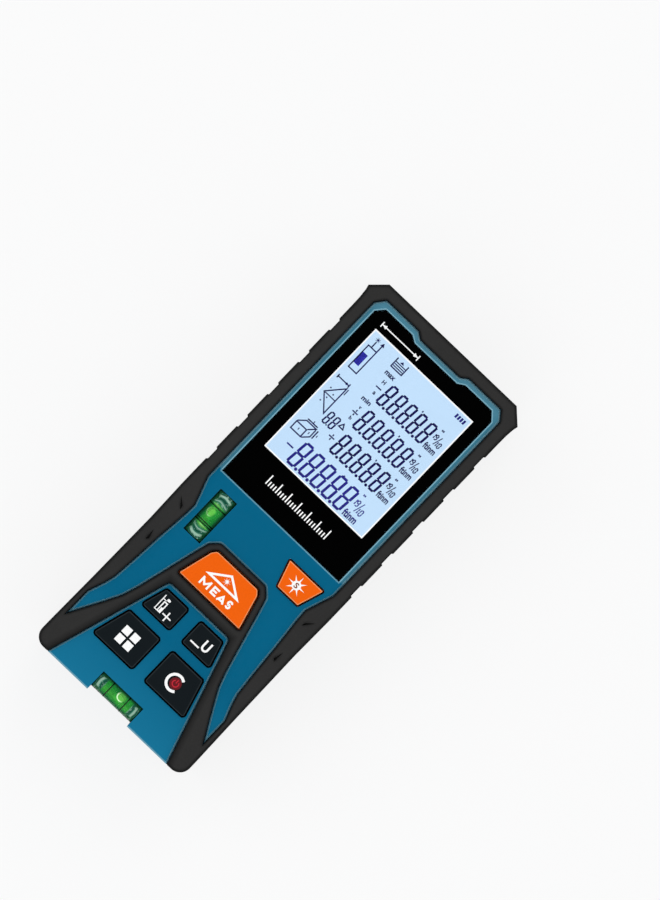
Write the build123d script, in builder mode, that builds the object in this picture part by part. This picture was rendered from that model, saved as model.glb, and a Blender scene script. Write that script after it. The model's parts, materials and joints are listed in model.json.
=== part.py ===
"""Handheld laser distance meter, built as separate pieces in millimetres.

+Z points out of the display face, +Y points the way the laser beam leaves, and +X is to the
right for someone reading the display.  The origin is under the middle of the meter, in the
plane that its rubber back rim rests on.
"""
import os

from build123d import *

os.makedirs("parts", exist_ok=True)

# ---------------------------------------------------------------- driving dimensions
LENGTH = 120.0
SIDE_X = 24.15  # half width over the grip pads
EAR_X = 24.7  # half width over the two ears at the laser end
THICKNESS = 26.0
SEAM_Z = 13.0  # where the front and rear halves meet
RUBBER = 1.6  # rubber skin on the sides
GROOVE = 0.2  # shadow line around each blue area
SEAM_GAP = 0.15  # each side of the seam
WINDOW_BEVEL = 0.3
BLUE_CHAMFER = 0.4
CASE_CORNER = 3.2  # plan corners at the foot end
RUBBER_EDGE = 1.0  # rounding of the rubber's outer edges
GROOVE_EDGE = 0.3  # rounding of the rubber beside a groove

TOP_Y = LENGTH / 2
END_Y = -LENGTH / 2
NOTCH_X = 6.55  # half width of the bottom vial's notch
NOTCH_Y = END_Y + 1.1
END_SEAT_Y = END_Y + 5.8  # the bottom vial's seat, cut into the front shell
END_SEAT_Z = 18.9
BLOCK_X = 19.6  # half width of the hard end block that touches the wall

# levels of the front half
BLUE_Z = THICKNESS - 0.8  # main blue surface
DECK_Z = THICKNESS - 2.0  # shell surface under the rubber
CEILING_Z = 22.6  # inside of the front wall
LEDGE_Z = 23.9  # ledge that carries the display window
MASK_T = 0.15
PANE_T = 0.9
BOARD_Z = 16.8
BOARD_T = 1.2
BOARD_END_Y = -51.9
BOARD_TOP = BOARD_Z + BOARD_T

# levels of the rear half
BACK_Z = 0.4  # hard back surface, just inside the rubber rim
FLOOR_T = 1.8
FLOOR_Z = BACK_Z + FLOOR_T

# keys
KEY_GAP = 0.4
KEY_TRAVEL = 0.6
FLANGE_OUT = 1.0
FLANGE_Z = 21.4
FLANGE_T = 0.9
KEY_TOP = THICKNESS - 0.1
STEM_R = 1.5
DOME_R = 2.4
DOME_T = 0.35
KEY_EDGE = 0.5  # rounding of each key's top
MEMBRANE_T = 0.6
STEM_Z = BOARD_TOP + DOME_T + KEY_TRAVEL + 0.1

# liquid crystal display, seen part
LCD_X = 16.15
LCD_Y = 30.75
LCD_LENGTH = 38.7

# batteries: two AAA cells side by side
CELL_R = 5.25
CELL_LENGTH = 44.5
CELL_X = 5.6
NUB_R = 1.9
NUB_LENGTH = 0.8
BAY_X = 11.4
BAY_Y0, BAY_Y1 = -50.9, -3.1
BAY_WALL = 1.2
CELL_Y0 = BAY_Y0 + 1.7
COVER_T = 1.6
CELL_Z = BACK_Z + COVER_T + 0.25 + CELL_R
BAY_ROOF_Z = 13.0
LEDGE_T = 1.2
CONTACT_T = 0.4
TAB_X = 1.0

# battery cover and its hinge
COVER_X = 12.9
COVER_GAP = 0.3
HINGE_Y, HINGE_Z = -51.0, 1.5
KNUCKLE_R = HINGE_Z - BACK_Z
PIN_R = 0.7
PIN_HOLE_R = 0.78
PIN_X = COVER_X + 1.5

# optics
OPTICS_Z = 9.0
LASER_X = -14.2
RECEIVER_X = 2.0
TUNNEL_R = 6.8  # receiver tunnel, outside
LENS_R = 5.6
BARREL_R = 3.4
BEZEL_X = 18.6
BEZEL_Z0, BEZEL_Z1 = 2.6, 15.8
BEZEL_FACE_Y = TOP_Y - 1.0
BARREL_FRONT_Y = 55.4
BARREL_BACK_Y = 37.0
DETECTOR_Y = 22.9
CHASSIS_Z = 4.0  # tops of the posts that the optics stand on
CHASSIS_T = 1.6

# tripod thread, 1/4 inch
TRIPOD = (0.0, 10.0)
TRIPOD_R = 2.6
TRIPOD_DEPTH = 6.2
INSERT_R = 4.6
INSERT_TOP = BACK_Z + TRIPOD_DEPTH + 1.4

CASE_SCREWS = [(19.2, 28.0), (-19.2, 28.0), (18.4, -54.3), (-18.4, -54.3)]
BOARD_SCREWS = [(18.6, 5.5), (-18.6, 5.5), (18.6, -32.0), (-18.6, -32.0)]
CHASSIS_SCREWS = [(-7.2, 51.0), (-7.2, 33.0), (11.4, 41.0)]
CASE_SCREW_R = 1.0
CASE_SCREW_TIP = 20.0
CASE_BOSS_R = 1.9  # bosses in the front shell
BOARD_BOSS_R = 1.8
CASE_HEAD_R = 1.8
CASE_HEAD_Z = 2.4
BOARD_SCREW_R = 0.8
BOARD_SCREW_TIP = 21.2
CHASSIS_SCREW_R = 0.9
CHASSIS_SCREW_TIP = 1.2

# small parts
SEAL = 0.6
LABEL_X, LABEL_Y0, LABEL_Y1 = 13.0, 26.0, 48.0
LABEL_T = 0.15
RIM_WIDTH = 3.0  # rubber rim under the back

# ---------------------------------------------------------------- outlines, right halves
CASE_HALF = [
    (21.05, TOP_Y), (EAR_X, TOP_Y - 3.5), (24.4, 55.2), (24.2, 53.0), (SIDE_X, 50.0),
    (SIDE_X, -8.5), (23.95, -20.0), (SIDE_X, -40.0), (24.4, -55.0), (24.4, END_Y),
]
BLUE_HALF = [
    (6.5, 55.4), (8.25, 56.7), (18.9, 56.7), (20.7, 54.4), (20.7, -3.2), (18.2, -10.4),
    (18.35, -13.3), (19.15, -21.7), (19.7, -29.2), (20.3, -36.0), (21.1, -38.9),
    (22.6, -42.9), (22.6, -50.0), (18.2, -42.1), (16.0, -37.9), (14.7, -34.0),
    (12.7, -26.5), (10.4, -17.7), (9.55, -14.7), (7.4, -12.6),
]
PLATE_HALF = [(9.8, -27.9), (BLOCK_X, END_Y)]
WINDOW_HALF = [(7.0, 54.0), (8.75, 55.1), (17.5, 55.1), (19.35, 53.0), (19.35, 0.1)]
CAVITY_HALF = [(19.2, 56.6), (20.75, 55.0), (20.75, -56.8)]

# keys: outline, the place of the stem under each, and the radii of its upper and lower corners
MEASURE_KEY = [(6.6, -14.6), (7.6, -15.8), (9.95, -24.6), (-9.95, -24.6), (-7.6, -15.8), (-6.6, -14.6)]
BEAM_KEY = [(7.25, -4.1), (18.3, -4.1), (16.1, -10.8), (9.4, -10.8)]
REFERENCE_KEY = [(-9.15, -29.55), (-2.1, -29.55), (-2.1, -36.2), (-11.15, -36.2)]
MENU_KEY = [(-12.15, -39.4), (-2.1, -39.4), (-2.1, -49.1), (-14.9, -49.1)]
KEYS = {
    "measure_key": (MEASURE_KEY, (0.0, -20.0), 0.9, 0.3),
    "beam_key": (BEAM_KEY, (12.7, -7.0), 0.25, 0.25),
    "reference_key": (REFERENCE_KEY, (-6.0, -33.0), 0.6, 0.6),
    "units_key": ([(-x, y) for x, y in REFERENCE_KEY], (6.0, -33.0), 0.6, 0.6),
    "menu_key": (MENU_KEY, (-7.6, -44.6), 0.6, 0.6),
    "power_key": ([(-x, y) for x, y in MENU_KEY], (7.6, -44.6), 0.6, 0.6),
}

# vials: centre, tube radius, half length of the tube, and the direction of its axis
# and the length of the clear plug at each end
SIDE_VIAL = {"centre": (-13.8, -9.75, 22.0), "r": 2.6, "half": 6.35, "along": (0, 1, 0), "plug": 3.4}
END_VIAL = {"centre": (0.0, -56.6, 22.3), "r": 2.3, "half": 6.35, "along": (1, 0, 0), "plug": 2.2}
VIAL_WALL = 0.6
VIAL_GROOVE = 0.15  # depth of the two turned grooves by each end of a tube
BUBBLE_R = 0.9

# grip pads along each side: the notch below each pad
PAD_TOP_Y = 44.0
PAD_PITCH = 10.65
NOTCH_COUNT = 5
NOTCH_DEPTH = 0.38
NOTCH_LENGTH = 4.2
# moulded creases in the rubber of the side bands, right half
CREASES = [
    [(22.3, -10.9), (20.3, -12.5), (20.05, -13.6)],
    [(21.4, -21.3), (20.7, -23.8), (21.3, -24.3)],
]
CREASE_DEPTH = 0.6


# ---------------------------------------------------------------- helpers
def symmetric(points):
    """All points of an outline that is symmetric about the Y axis, from its right half."""
    return points + [(-x, y) for x, y in reversed(points)]


def block(low, high, mode=Mode.ADD):
    """Box between its lowest and highest corners, in the current part."""
    size = [top - bottom for bottom, top in zip(low, high)]
    with Locations(low):
        Box(*size, align=(Align.MIN, Align.MIN, Align.MIN), mode=mode)


def discs(places, radius, low, high, mode=Mode.ADD):
    """Upright round bosses or holes between two levels, in the current part."""
    with Locations(*[(x, y, low) for x, y in places]):
        Cylinder(radius, high - low, align=(Align.CENTER, Align.CENTER, Align.MIN), mode=mode)


def cut_bezel_opening():
    """Opening in the laser end, for the bezel."""
    block((-BEZEL_X, 55.0, BEZEL_Z0), (BEZEL_X, TOP_Y, BEZEL_Z1), mode=Mode.SUBTRACT)


def cut_end_notch():
    """Shallow notch in the other end, where the vial is seen from the end too."""
    block((-NOTCH_X, END_Y, 0), (NOTCH_X, NOTCH_Y, THICKNESS), mode=Mode.SUBTRACT)


def turned(x, profile):
    """Piece turned about the optical axis at x, from its (radius, y) points."""
    with BuildPart() as piece:
        with BuildSketch(Plane((x, 0, OPTICS_Z))):
            Polygon(*profile, align=None)
        revolve(axis=Axis((x, 0, OPTICS_Z), (0, 1, 0)))
    return piece.part


def lens(x, radius, back_y, edge, crown):
    """Plano-convex lens on the optical axis at x: flat at back_y, bulging towards +Y."""
    sphere_r = (radius**2 + crown**2) / (2 * crown)
    rim, apex = (radius, back_y + edge), (0, back_y + edge + crown)
    halfway = (radius / 2, apex[1] - sphere_r + (sphere_r**2 - radius**2 / 4) ** 0.5)
    with BuildPart() as piece:
        with BuildSketch(Plane((x, 0, OPTICS_Z))):
            with BuildLine():
                Polyline(apex, (0, back_y), (radius, back_y), rim)
                ThreePointArc(rim, halfway, apex)
            make_face()
        revolve(axis=Axis((x, 0, OPTICS_Z), (0, 1, 0)))
    return piece.part


def save(piece, name):
    """Label a finished piece and write it."""
    piece.part.label = name
    export_step(piece.part, f"parts/{name}.step")


# ---------------------------------------------------------------- plan shapes used more than once
with BuildSketch() as case_plan:
    Polygon(*symmetric(CASE_HALF), align=None)
    fillet(case_plan.vertices().group_by(Axis.Y)[0], CASE_CORNER)

with BuildSketch() as shell_plan:
    add(case_plan.sketch)
    offset(amount=-RUBBER, kind=Kind.INTERSECTION)
    with Locations((0, END_Y)):
        Rectangle(2 * BLOCK_X, 6.0, align=(Align.CENTER, Align.MIN))

with BuildSketch() as cavity_plan:
    Polygon(*symmetric(CAVITY_HALF), align=None)
    fillet(cavity_plan.vertices(), 0.8)

with BuildSketch() as blue_plan:
    Polygon(*symmetric(BLUE_HALF), align=None)
    over_key = blue_plan.vertices().filter_by(lambda v: abs(v.X) < 10 and -15 < v.Y < -12)
    fillet(over_key, 1.2)

with BuildSketch() as plate_plan:
    Polygon(*symmetric(PLATE_HALF), align=None)
    fillet(plate_plan.vertices().group_by(Axis.Y)[-1], 1.0)

with BuildSketch() as window_plan:
    Polygon(*symmetric(WINDOW_HALF), align=None)

key_plans = {}
for key_name, (key_points, _, upper_corner, lower_corner) in KEYS.items():
    with BuildSketch() as key_plan:
        Polygon(*key_points, align=None)
        levels = key_plan.vertices().group_by(Axis.Y)
        fillet(levels[0], lower_corner)
        fillet(key_plan.vertices().filter_by(lambda v: v.Y > levels[0][0].Y + 1), upper_corner)
    key_plans[key_name] = key_plan.sketch

key_holes = [offset(plan, amount=KEY_GAP) for plan in key_plans.values()]

# the shallow notches between the grip pads, as cutters that reach through both halves
with BuildPart() as side_notches:
    for i in range(NOTCH_COUNT):
        for side in (1, -1):
            with BuildSketch():
                with Locations((side * SIDE_X, PAD_TOP_Y - i * PAD_PITCH)):
                    Trapezoid(NOTCH_LENGTH, 2 * NOTCH_DEPTH, 60, rotation=side * 90)
    extrude(amount=THICKNESS)


# ---------------------------------------------------------------- front shell
with BuildPart() as front_shell:
    with BuildSketch(Plane.XY.offset(SEAM_Z)):
        add(shell_plan.sketch)
    extrude(amount=DECK_Z - SEAM_Z)
    with BuildSketch(Plane.XY.offset(DECK_Z)):
        add(blue_plan.sketch)
        add(plate_plan.sketch)
    extrude(amount=BLUE_Z - DECK_Z)
    chamfer(front_shell.faces().filter_by(Axis.Z).group_by(Axis.Z)[-1].edges(), BLUE_CHAMFER)
    # inside, with bosses for the case screws and the board screws
    with BuildSketch(Plane.XY.offset(SEAM_Z)):
        add(cavity_plan.sketch)
    extrude(amount=CEILING_Z - SEAM_Z, mode=Mode.SUBTRACT)
    discs(CASE_SCREWS, CASE_BOSS_R, SEAM_Z, CEILING_Z)
    discs(BOARD_SCREWS, BOARD_BOSS_R, BOARD_TOP, CEILING_Z)
    discs(CASE_SCREWS, CASE_SCREW_R, SEAM_Z, CASE_SCREW_TIP, mode=Mode.SUBTRACT)
    discs(BOARD_SCREWS, BOARD_SCREW_R, BOARD_TOP, BOARD_SCREW_TIP, mode=Mode.SUBTRACT)
    # window recess and the display opening under it
    with BuildSketch(Plane.XY.offset(LEDGE_Z)):
        add(window_plan.sketch)
    extrude(amount=THICKNESS - LEDGE_Z, mode=Mode.SUBTRACT)
    with BuildSketch(Plane.XY.offset(BLUE_Z - WINDOW_BEVEL)):
        add(window_plan.sketch)
    extrude(amount=WINDOW_BEVEL, taper=-45, mode=Mode.SUBTRACT)
    with BuildSketch(Plane.XY.offset(CEILING_Z)):
        with Locations((0, LCD_Y)):
            RectangleRounded(2 * LCD_X + 0.6, LCD_LENGTH + 0.8, 0.5)
    extrude(amount=LEDGE_Z - CEILING_Z, mode=Mode.SUBTRACT)
    # openings for the keys and the side vial
    with BuildSketch(Plane.XY.offset(CEILING_Z)):
        add(key_holes)
        with Locations(SIDE_VIAL["centre"][:2]):
            Rectangle(2 * SIDE_VIAL["r"] + 0.2, 2 * SIDE_VIAL["half"] + 0.4)
    extrude(amount=THICKNESS - CEILING_Z, mode=Mode.SUBTRACT)
    block((-NOTCH_X, END_Y, END_SEAT_Z), (NOTCH_X, END_SEAT_Y, THICKNESS), mode=Mode.SUBTRACT)
    cut_end_notch()
    cut_bezel_opening()
save(front_shell, "front_shell")

# ---------------------------------------------------------------- front grip, moulded over the shell
with BuildPart() as front_grip:
    with BuildSketch(Plane.XY.offset(SEAM_Z + SEAM_GAP)):
        add(case_plan.sketch)
    extrude(amount=THICKNESS - SEAM_Z - SEAM_GAP)
    fillet(front_grip.faces().sort_by(Axis.Z)[-1].outer_wire().edges(), RUBBER_EDGE)
    with BuildSketch(Plane.XY.offset(SEAM_Z)):
        add(shell_plan.sketch)
    extrude(amount=DECK_Z - SEAM_Z, mode=Mode.SUBTRACT)
    # the blue areas and the measuring key stand in the rubber, with a narrow groove round them
    for island, groove in (
        (blue_plan.sketch, GROOVE),
        (plate_plan.sketch, GROOVE),
        (key_plans["measure_key"], KEY_GAP),
    ):
        with BuildSketch(Plane.XY.offset(DECK_Z)):
            add(island)
            offset(amount=groove, kind=Kind.INTERSECTION)
        extrude(amount=THICKNESS - DECK_Z, mode=Mode.SUBTRACT)
    rubber_top = front_grip.faces().filter_by(Axis.Z).sort_by(Axis.Z)[-1]
    plate_edges = rubber_top.outer_wire().edges().filter_by(lambda e: abs(e.center().X) < BLOCK_X)
    plate_edges = plate_edges.filter_by(lambda e: END_Y + 1 < e.center().Y < 0)
    fillet(rubber_top.inner_wires().edges() + plate_edges, GROOVE_EDGE)
    for side in (1, -1):
        with BuildSketch(Plane.XY.offset(THICKNESS - CREASE_DEPTH)):
            for crease in CREASES:
                Polygon(*[(side * x, y) for x, y in crease], align=None)
        extrude(amount=CREASE_DEPTH, mode=Mode.SUBTRACT)
    add(side_notches.part, mode=Mode.SUBTRACT)
    block((-BEZEL_X - 0.4, 50.0, 0), (BEZEL_X + 0.4, TOP_Y, BEZEL_Z1 + 0.4), mode=Mode.SUBTRACT)
save(front_grip, "front_grip")

# ---------------------------------------------------------------- display window and its mask
with BuildPart() as window_mask:
    with BuildSketch(Plane.XY.offset(LEDGE_Z)):
        add(window_plan.sketch)
        offset(amount=-0.1, kind=Kind.INTERSECTION)
        with Locations((0, LCD_Y)):
            Rectangle(2 * LCD_X, LCD_LENGTH, mode=Mode.SUBTRACT)
    extrude(amount=MASK_T)
save(window_mask, "window_mask")

with BuildPart() as display_window:
    with BuildSketch(Plane.XY.offset(LEDGE_Z + MASK_T)):
        add(window_plan.sketch)
        offset(amount=-0.1, kind=Kind.INTERSECTION)
    extrude(amount=PANE_T)
    chamfer(display_window.faces().sort_by(Axis.Z)[-1].edges(), 0.15)
save(display_window, "display_window")

# ---------------------------------------------------------------- display stack
DISPLAY_LOW = (-16.8, 9.4)
DISPLAY_HIGH = (16.8, 52.2)
PANEL_Z = 20.9
CONNECTOR_Y0, CONNECTOR_Y1 = 10.0, 12.2

with BuildPart() as lcd_panel:
    block((*DISPLAY_LOW, PANEL_Z), (*DISPLAY_HIGH, CEILING_Z - 0.1))
save(lcd_panel, "lcd_panel")

with BuildPart() as lcd_backlight:
    block((-16.6, 12.8, BOARD_TOP + 0.4), (16.6, 52.0, PANEL_Z))
save(lcd_backlight, "lcd_backlight")

with BuildPart() as lcd_connector:
    block((-14.0, CONNECTOR_Y0, BOARD_TOP), (14.0, CONNECTOR_Y1, PANEL_Z))
save(lcd_connector, "lcd_connector")

with BuildPart() as lcd_frame:
    block((-17.2, 9.0, BOARD_TOP), (17.2, 52.6, CEILING_Z))
    block((*DISPLAY_LOW, BOARD_TOP + 0.4), (*DISPLAY_HIGH, CEILING_Z), mode=Mode.SUBTRACT)
    block(
        (-14.2, CONNECTOR_Y0 - 0.2, BOARD_TOP),
        (14.2, CONNECTOR_Y1 + 0.2, PANEL_Z),
        mode=Mode.SUBTRACT,
    )
save(lcd_frame, "lcd_frame")

# ---------------------------------------------------------------- main board and what it carries
with BuildPart() as main_board:
    with BuildSketch(Plane.XY.offset(BOARD_Z)):
        add(cavity_plan.sketch)
        offset(amount=-0.4)
        with Locations((0, END_Y)):
            Rectangle(2 * EAR_X, BOARD_END_Y - END_Y, align=(Align.CENTER, Align.MIN), mode=Mode.SUBTRACT)
        with Locations(*CASE_SCREWS):
            Circle(2.2, mode=Mode.SUBTRACT)
        with Locations(*BOARD_SCREWS):
            Circle(BOARD_SCREW_R, mode=Mode.SUBTRACT)
    extrude(amount=BOARD_T)
save(main_board, "main_board")

CHIPS = [  # x, y, size along x, size along y, height
    (-9.0, 3.0, 7.0, 7.0, 1.0),
    (0.5, 3.5, 5.0, 4.0, 1.2),
    (8.5, -8.0, 4.0, 5.0, 1.1),
    (-14.0, -20.0, 6.0, 6.0, 1.0),
    (15.5, -25.0, 3.2, 2.5, 1.6),
    (14.0, 20.0, 3.0, 1.6, 1.2),
    (-4.0, -9.0, 3.2, 1.6, 0.9),
    (4.0, -20.0, 2.0, 1.25, 0.8),
]
with BuildPart() as board_chips:
    for x, y, along_x, along_y, height in CHIPS:
        with Locations((x, y, BOARD_Z)):
            Box(along_x, along_y, height, align=(Align.CENTER, Align.CENTER, Align.MAX))
save(board_chips, "board_chips")

CAN_HEIGHT, CAN_CORNER, CAN_SHEET = 2.4, 0.8, 0.2
with BuildPart() as shield_can:
    block((-18.0, 9.5, BOARD_Z - CAN_HEIGHT), (-5.5, 21.0, BOARD_Z))
    fillet(shield_can.edges().filter_by(Axis.Z), CAN_CORNER)
    offset(amount=-CAN_SHEET, openings=shield_can.faces().sort_by(Axis.Z)[-1])
save(shield_can, "shield_can")

BUZZER = (12.6, 9.6)
BUZZER_R, BUZZER_HEIGHT = 5.0, 4.2
SOUND_HOLE_R, SOUND_HOLE_DEPTH = 0.9, 1.0
with BuildPart() as buzzer:
    buzzer_face = BOARD_Z - BUZZER_HEIGHT
    discs([BUZZER], BUZZER_R, buzzer_face, BOARD_Z)
    discs([BUZZER], SOUND_HOLE_R, buzzer_face, buzzer_face + SOUND_HOLE_DEPTH, mode=Mode.SUBTRACT)
save(buzzer, "buzzer")

BOARD_HEAD_R, BOARD_HEAD_T = 1.6, 1.2
with BuildPart() as board_screws:
    discs(BOARD_SCREWS, BOARD_HEAD_R, BOARD_Z - BOARD_HEAD_T, BOARD_Z)
    discs(BOARD_SCREWS, BOARD_SCREW_R, BOARD_Z, BOARD_SCREW_TIP)
save(board_screws, "board_screws")

# ---------------------------------------------------------------- keys, membrane and domes
def key(plan, stem):
    """Keycap with a flange that keeps it in the shell and a stem that presses its dome."""
    with BuildPart() as cap:
        with BuildSketch(Plane.XY.offset(FLANGE_Z)):
            add(plan)
            offset(amount=FLANGE_OUT)
        extrude(amount=FLANGE_T)
        with BuildSketch(Plane.XY.offset(FLANGE_Z)):
            add(plan)
        extrude(amount=KEY_TOP - FLANGE_Z)
        fillet(cap.faces().sort_by(Axis.Z)[-1].edges(), KEY_EDGE)
        discs([stem], STEM_R, STEM_Z, FLANGE_Z)
    return cap


for key_name, (_, stem, _, _) in KEYS.items():
    save(key(key_plans[key_name], stem), key_name)

stems = [stem for _, stem, _, _ in KEYS.values()]
MEMBRANE_Z = 19.6
MEMBRANE = [
    (-16.4, -51.6), (16.4, -51.6), (16.4, -19.0), (19.0, -12.0), (19.0, -2.4), (6.4, -2.4),
    (6.4, -12.6), (-9.2, -12.6), (-9.2, -18.6), (-16.4, -18.6),
]
MEMBRANE_FEET = [
    (-15.4, -50.6), (15.4, -50.6), (0, -50.6), (0, -38.0), (-15.0, -30.0), (15.0, -30.0),
    (0, -27.0), (-8.0, -14.0), (18.0, -12.6), (17.8, -3.6), (7.6, -3.6),
]
with BuildPart() as keypad_membrane:
    with BuildSketch(Plane.XY.offset(MEMBRANE_Z)):
        Polygon(*MEMBRANE, align=None)
        with Locations(*stems):
            Circle(STEM_R + 0.3, mode=Mode.SUBTRACT)
    extrude(amount=MEMBRANE_T)
    discs(MEMBRANE_FEET, 0.8, BOARD_TOP, MEMBRANE_Z)
save(keypad_membrane, "keypad_membrane")

with BuildPart() as key_domes:
    discs(stems, DOME_R, BOARD_TOP, BOARD_TOP + DOME_T)
    chamfer(key_domes.faces().filter_by(Axis.Z).group_by(Axis.Z)[-1].edges(), 0.2)
save(key_domes, "key_domes")


# ---------------------------------------------------------------- spirit vials
def save_vial(name, centre, r, half, along, plug):
    """Write the tube, liquid and end plugs of a vial."""
    frame = Plane(origin=centre, x_dir=(0, 0, 1), z_dir=along)
    bore = r - VIAL_WALL
    with BuildPart(frame) as tube:
        Cylinder(r, 2 * half)
        chamfer(tube.edges(), 0.25)
        Cylinder(bore, 2 * half, mode=Mode.SUBTRACT)
        for end in (-1, 1):
            for inset in (0.9, 2.1):
                with Locations((0, 0, end * (half - inset))):
                    Torus(r + 0.25, 0.25 + VIAL_GROOVE, mode=Mode.SUBTRACT)
    save(tube, f"{name}_tube")
    with BuildPart(frame) as liquid:
        Cylinder(bore, 2 * (half - plug))
        with Locations((bore - BUBBLE_R - 0.05, 0, 0.4)):
            Cylinder(BUBBLE_R, BUBBLE_R, mode=Mode.SUBTRACT)
        for end in (-1, 1):
            with Locations((bore - BUBBLE_R - 0.05, 0, 0.4 + end * BUBBLE_R / 2)):
                Sphere(BUBBLE_R, mode=Mode.SUBTRACT)
    save(liquid, f"{name}_liquid")
    with BuildPart(frame) as plugs:
        for end in (-1, 1):
            with Locations((0, 0, end * (half - plug / 2))):
                Cylinder(bore, plug)
            # waist between the plug's two sealing rings
            with Locations((0, 0, end * (half - plug / 2))):
                Torus(bore + 0.4, 0.7, mode=Mode.SUBTRACT)
    save(plugs, f"{name}_plugs")


save_vial("side_vial", **SIDE_VIAL)
save_vial("end_vial", **END_VIAL)

vial_x, vial_y, vial_z = SIDE_VIAL["centre"]
vial_r, vial_half = SIDE_VIAL["r"], SIDE_VIAL["half"]
with BuildPart() as side_vial_cradle:
    block(
        (vial_x - vial_r - 0.5, vial_y - vial_half - 0.7, BOARD_TOP),
        (vial_x + vial_r + 0.5, vial_y + vial_half + 0.7, CEILING_Z),
    )
    with Locations(Location((vial_x, vial_y, vial_z), (90, 0, 0))):
        Cylinder(vial_r, 2 * vial_half, mode=Mode.SUBTRACT)
    block(
        (vial_x - vial_r, vial_y - vial_half, vial_z),
        (vial_x + vial_r, vial_y + vial_half, THICKNESS),
        mode=Mode.SUBTRACT,
    )
save(side_vial_cradle, "side_vial_cradle")

with BuildPart() as end_vial_cradle:
    block((-NOTCH_X, NOTCH_Y, END_SEAT_Z), (NOTCH_X, END_SEAT_Y, END_VIAL["centre"][2]))
    with Locations(Location(END_VIAL["centre"], (0, 90, 0))):
        Cylinder(END_VIAL["r"], 2 * END_VIAL["half"], mode=Mode.SUBTRACT)
save(end_vial_cradle, "end_vial_cradle")

# ---------------------------------------------------------------- seal between the shells
with BuildPart() as case_seal:
    with BuildSketch(Plane.XY.offset(SEAM_Z - SEAL)):
        offset(cavity_plan.sketch, amount=0.5 + SEAL)
        offset(cavity_plan.sketch, amount=0.5, mode=Mode.SUBTRACT)
    extrude(amount=SEAL)
    cut_bezel_opening()
save(case_seal, "case_seal")

# ---------------------------------------------------------------- rear shell
LEDGE_LOW = (-COVER_X - 2.3, HINGE_Y - 3.2, FLOOR_Z)
LEDGE_HIGH = (COVER_X + 2.3, BAY_Y1 + 2.5, FLOOR_Z + LEDGE_T)
with BuildPart() as rear_shell:
    with BuildSketch(Plane.XY.offset(BACK_Z)):
        add(shell_plan.sketch)
    extrude(amount=SEAM_Z - BACK_Z)
    chamfer(rear_shell.faces().sort_by(Axis.Z)[0].edges(), 0.6)
    with BuildSketch(Plane.XY.offset(FLOOR_Z)):
        add(cavity_plan.sketch)
    extrude(amount=SEAM_Z - FLOOR_Z, mode=Mode.SUBTRACT)
    # screw bosses, chassis posts and the tripod boss
    discs(CASE_SCREWS, 2.6, FLOOR_Z, SEAM_Z)
    discs(CHASSIS_SCREWS, 2.2, FLOOR_Z, CHASSIS_Z)
    discs([TRIPOD], 6.4, FLOOR_Z, INSERT_TOP + 1.0)
    discs(CASE_SCREWS, CASE_HEAD_R + 0.1, 0, CASE_HEAD_Z, mode=Mode.SUBTRACT)
    discs(CASE_SCREWS, CASE_SCREW_R, 0, SEAM_Z, mode=Mode.SUBTRACT)
    discs(CHASSIS_SCREWS, CHASSIS_SCREW_R, CHASSIS_SCREW_TIP, CHASSIS_Z, mode=Mode.SUBTRACT)
    discs([TRIPOD], INSERT_R, 0, INSERT_TOP, mode=Mode.SUBTRACT)
    # battery bay: a frame that the cover closes against, walls and a roof
    block(LEDGE_LOW, LEDGE_HIGH)
    block(
        (-BAY_X - BAY_WALL, BAY_Y0 - BAY_WALL, FLOOR_Z),
        (BAY_X + BAY_WALL, BAY_Y1 + BAY_WALL, BAY_ROOF_Z + BAY_WALL),
    )
    block((-BAY_X, BAY_Y0, 0), (BAY_X, BAY_Y1, BAY_ROOF_Z), mode=Mode.SUBTRACT)
    # opening for the cover, with its hinge pocket, pin holes and fingernail recess
    block(
        (-COVER_X - COVER_GAP, HINGE_Y, 0),
        (COVER_X + COVER_GAP, BAY_Y1 + COVER_GAP, FLOOR_Z),
        mode=Mode.SUBTRACT,
    )
    block(
        (-COVER_X - COVER_GAP, HINGE_Y - KNUCKLE_R - COVER_GAP, 0),
        (COVER_X + COVER_GAP, HINGE_Y, HINGE_Z),
        mode=Mode.SUBTRACT,
    )
    with Locations(Location((0, HINGE_Y, HINGE_Z), (0, 90, 0))):
        Cylinder(KNUCKLE_R + COVER_GAP, 2 * (COVER_X + COVER_GAP), mode=Mode.SUBTRACT)
        Cylinder(PIN_HOLE_R, 2 * (PIN_X + 0.2), mode=Mode.SUBTRACT)
    discs([(0, BAY_Y1 + COVER_GAP)], 5.0, 0, 1.3, mode=Mode.SUBTRACT)
    # slots for the contact tabs, groove for the seal, recess for the label
    for x in (-CELL_X, CELL_X):
        block(
            (x - TAB_X, BAY_Y0, BAY_ROOF_Z),
            (x + TAB_X, BAY_Y0 + CONTACT_T, BOARD_Z),
            mode=Mode.SUBTRACT,
        )
    add(case_seal.part, mode=Mode.SUBTRACT)
    block((-LABEL_X, LABEL_Y0, 0), (LABEL_X, LABEL_Y1, BACK_Z + LABEL_T), mode=Mode.SUBTRACT)
    cut_end_notch()
    cut_bezel_opening()
save(rear_shell, "rear_shell")

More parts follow.
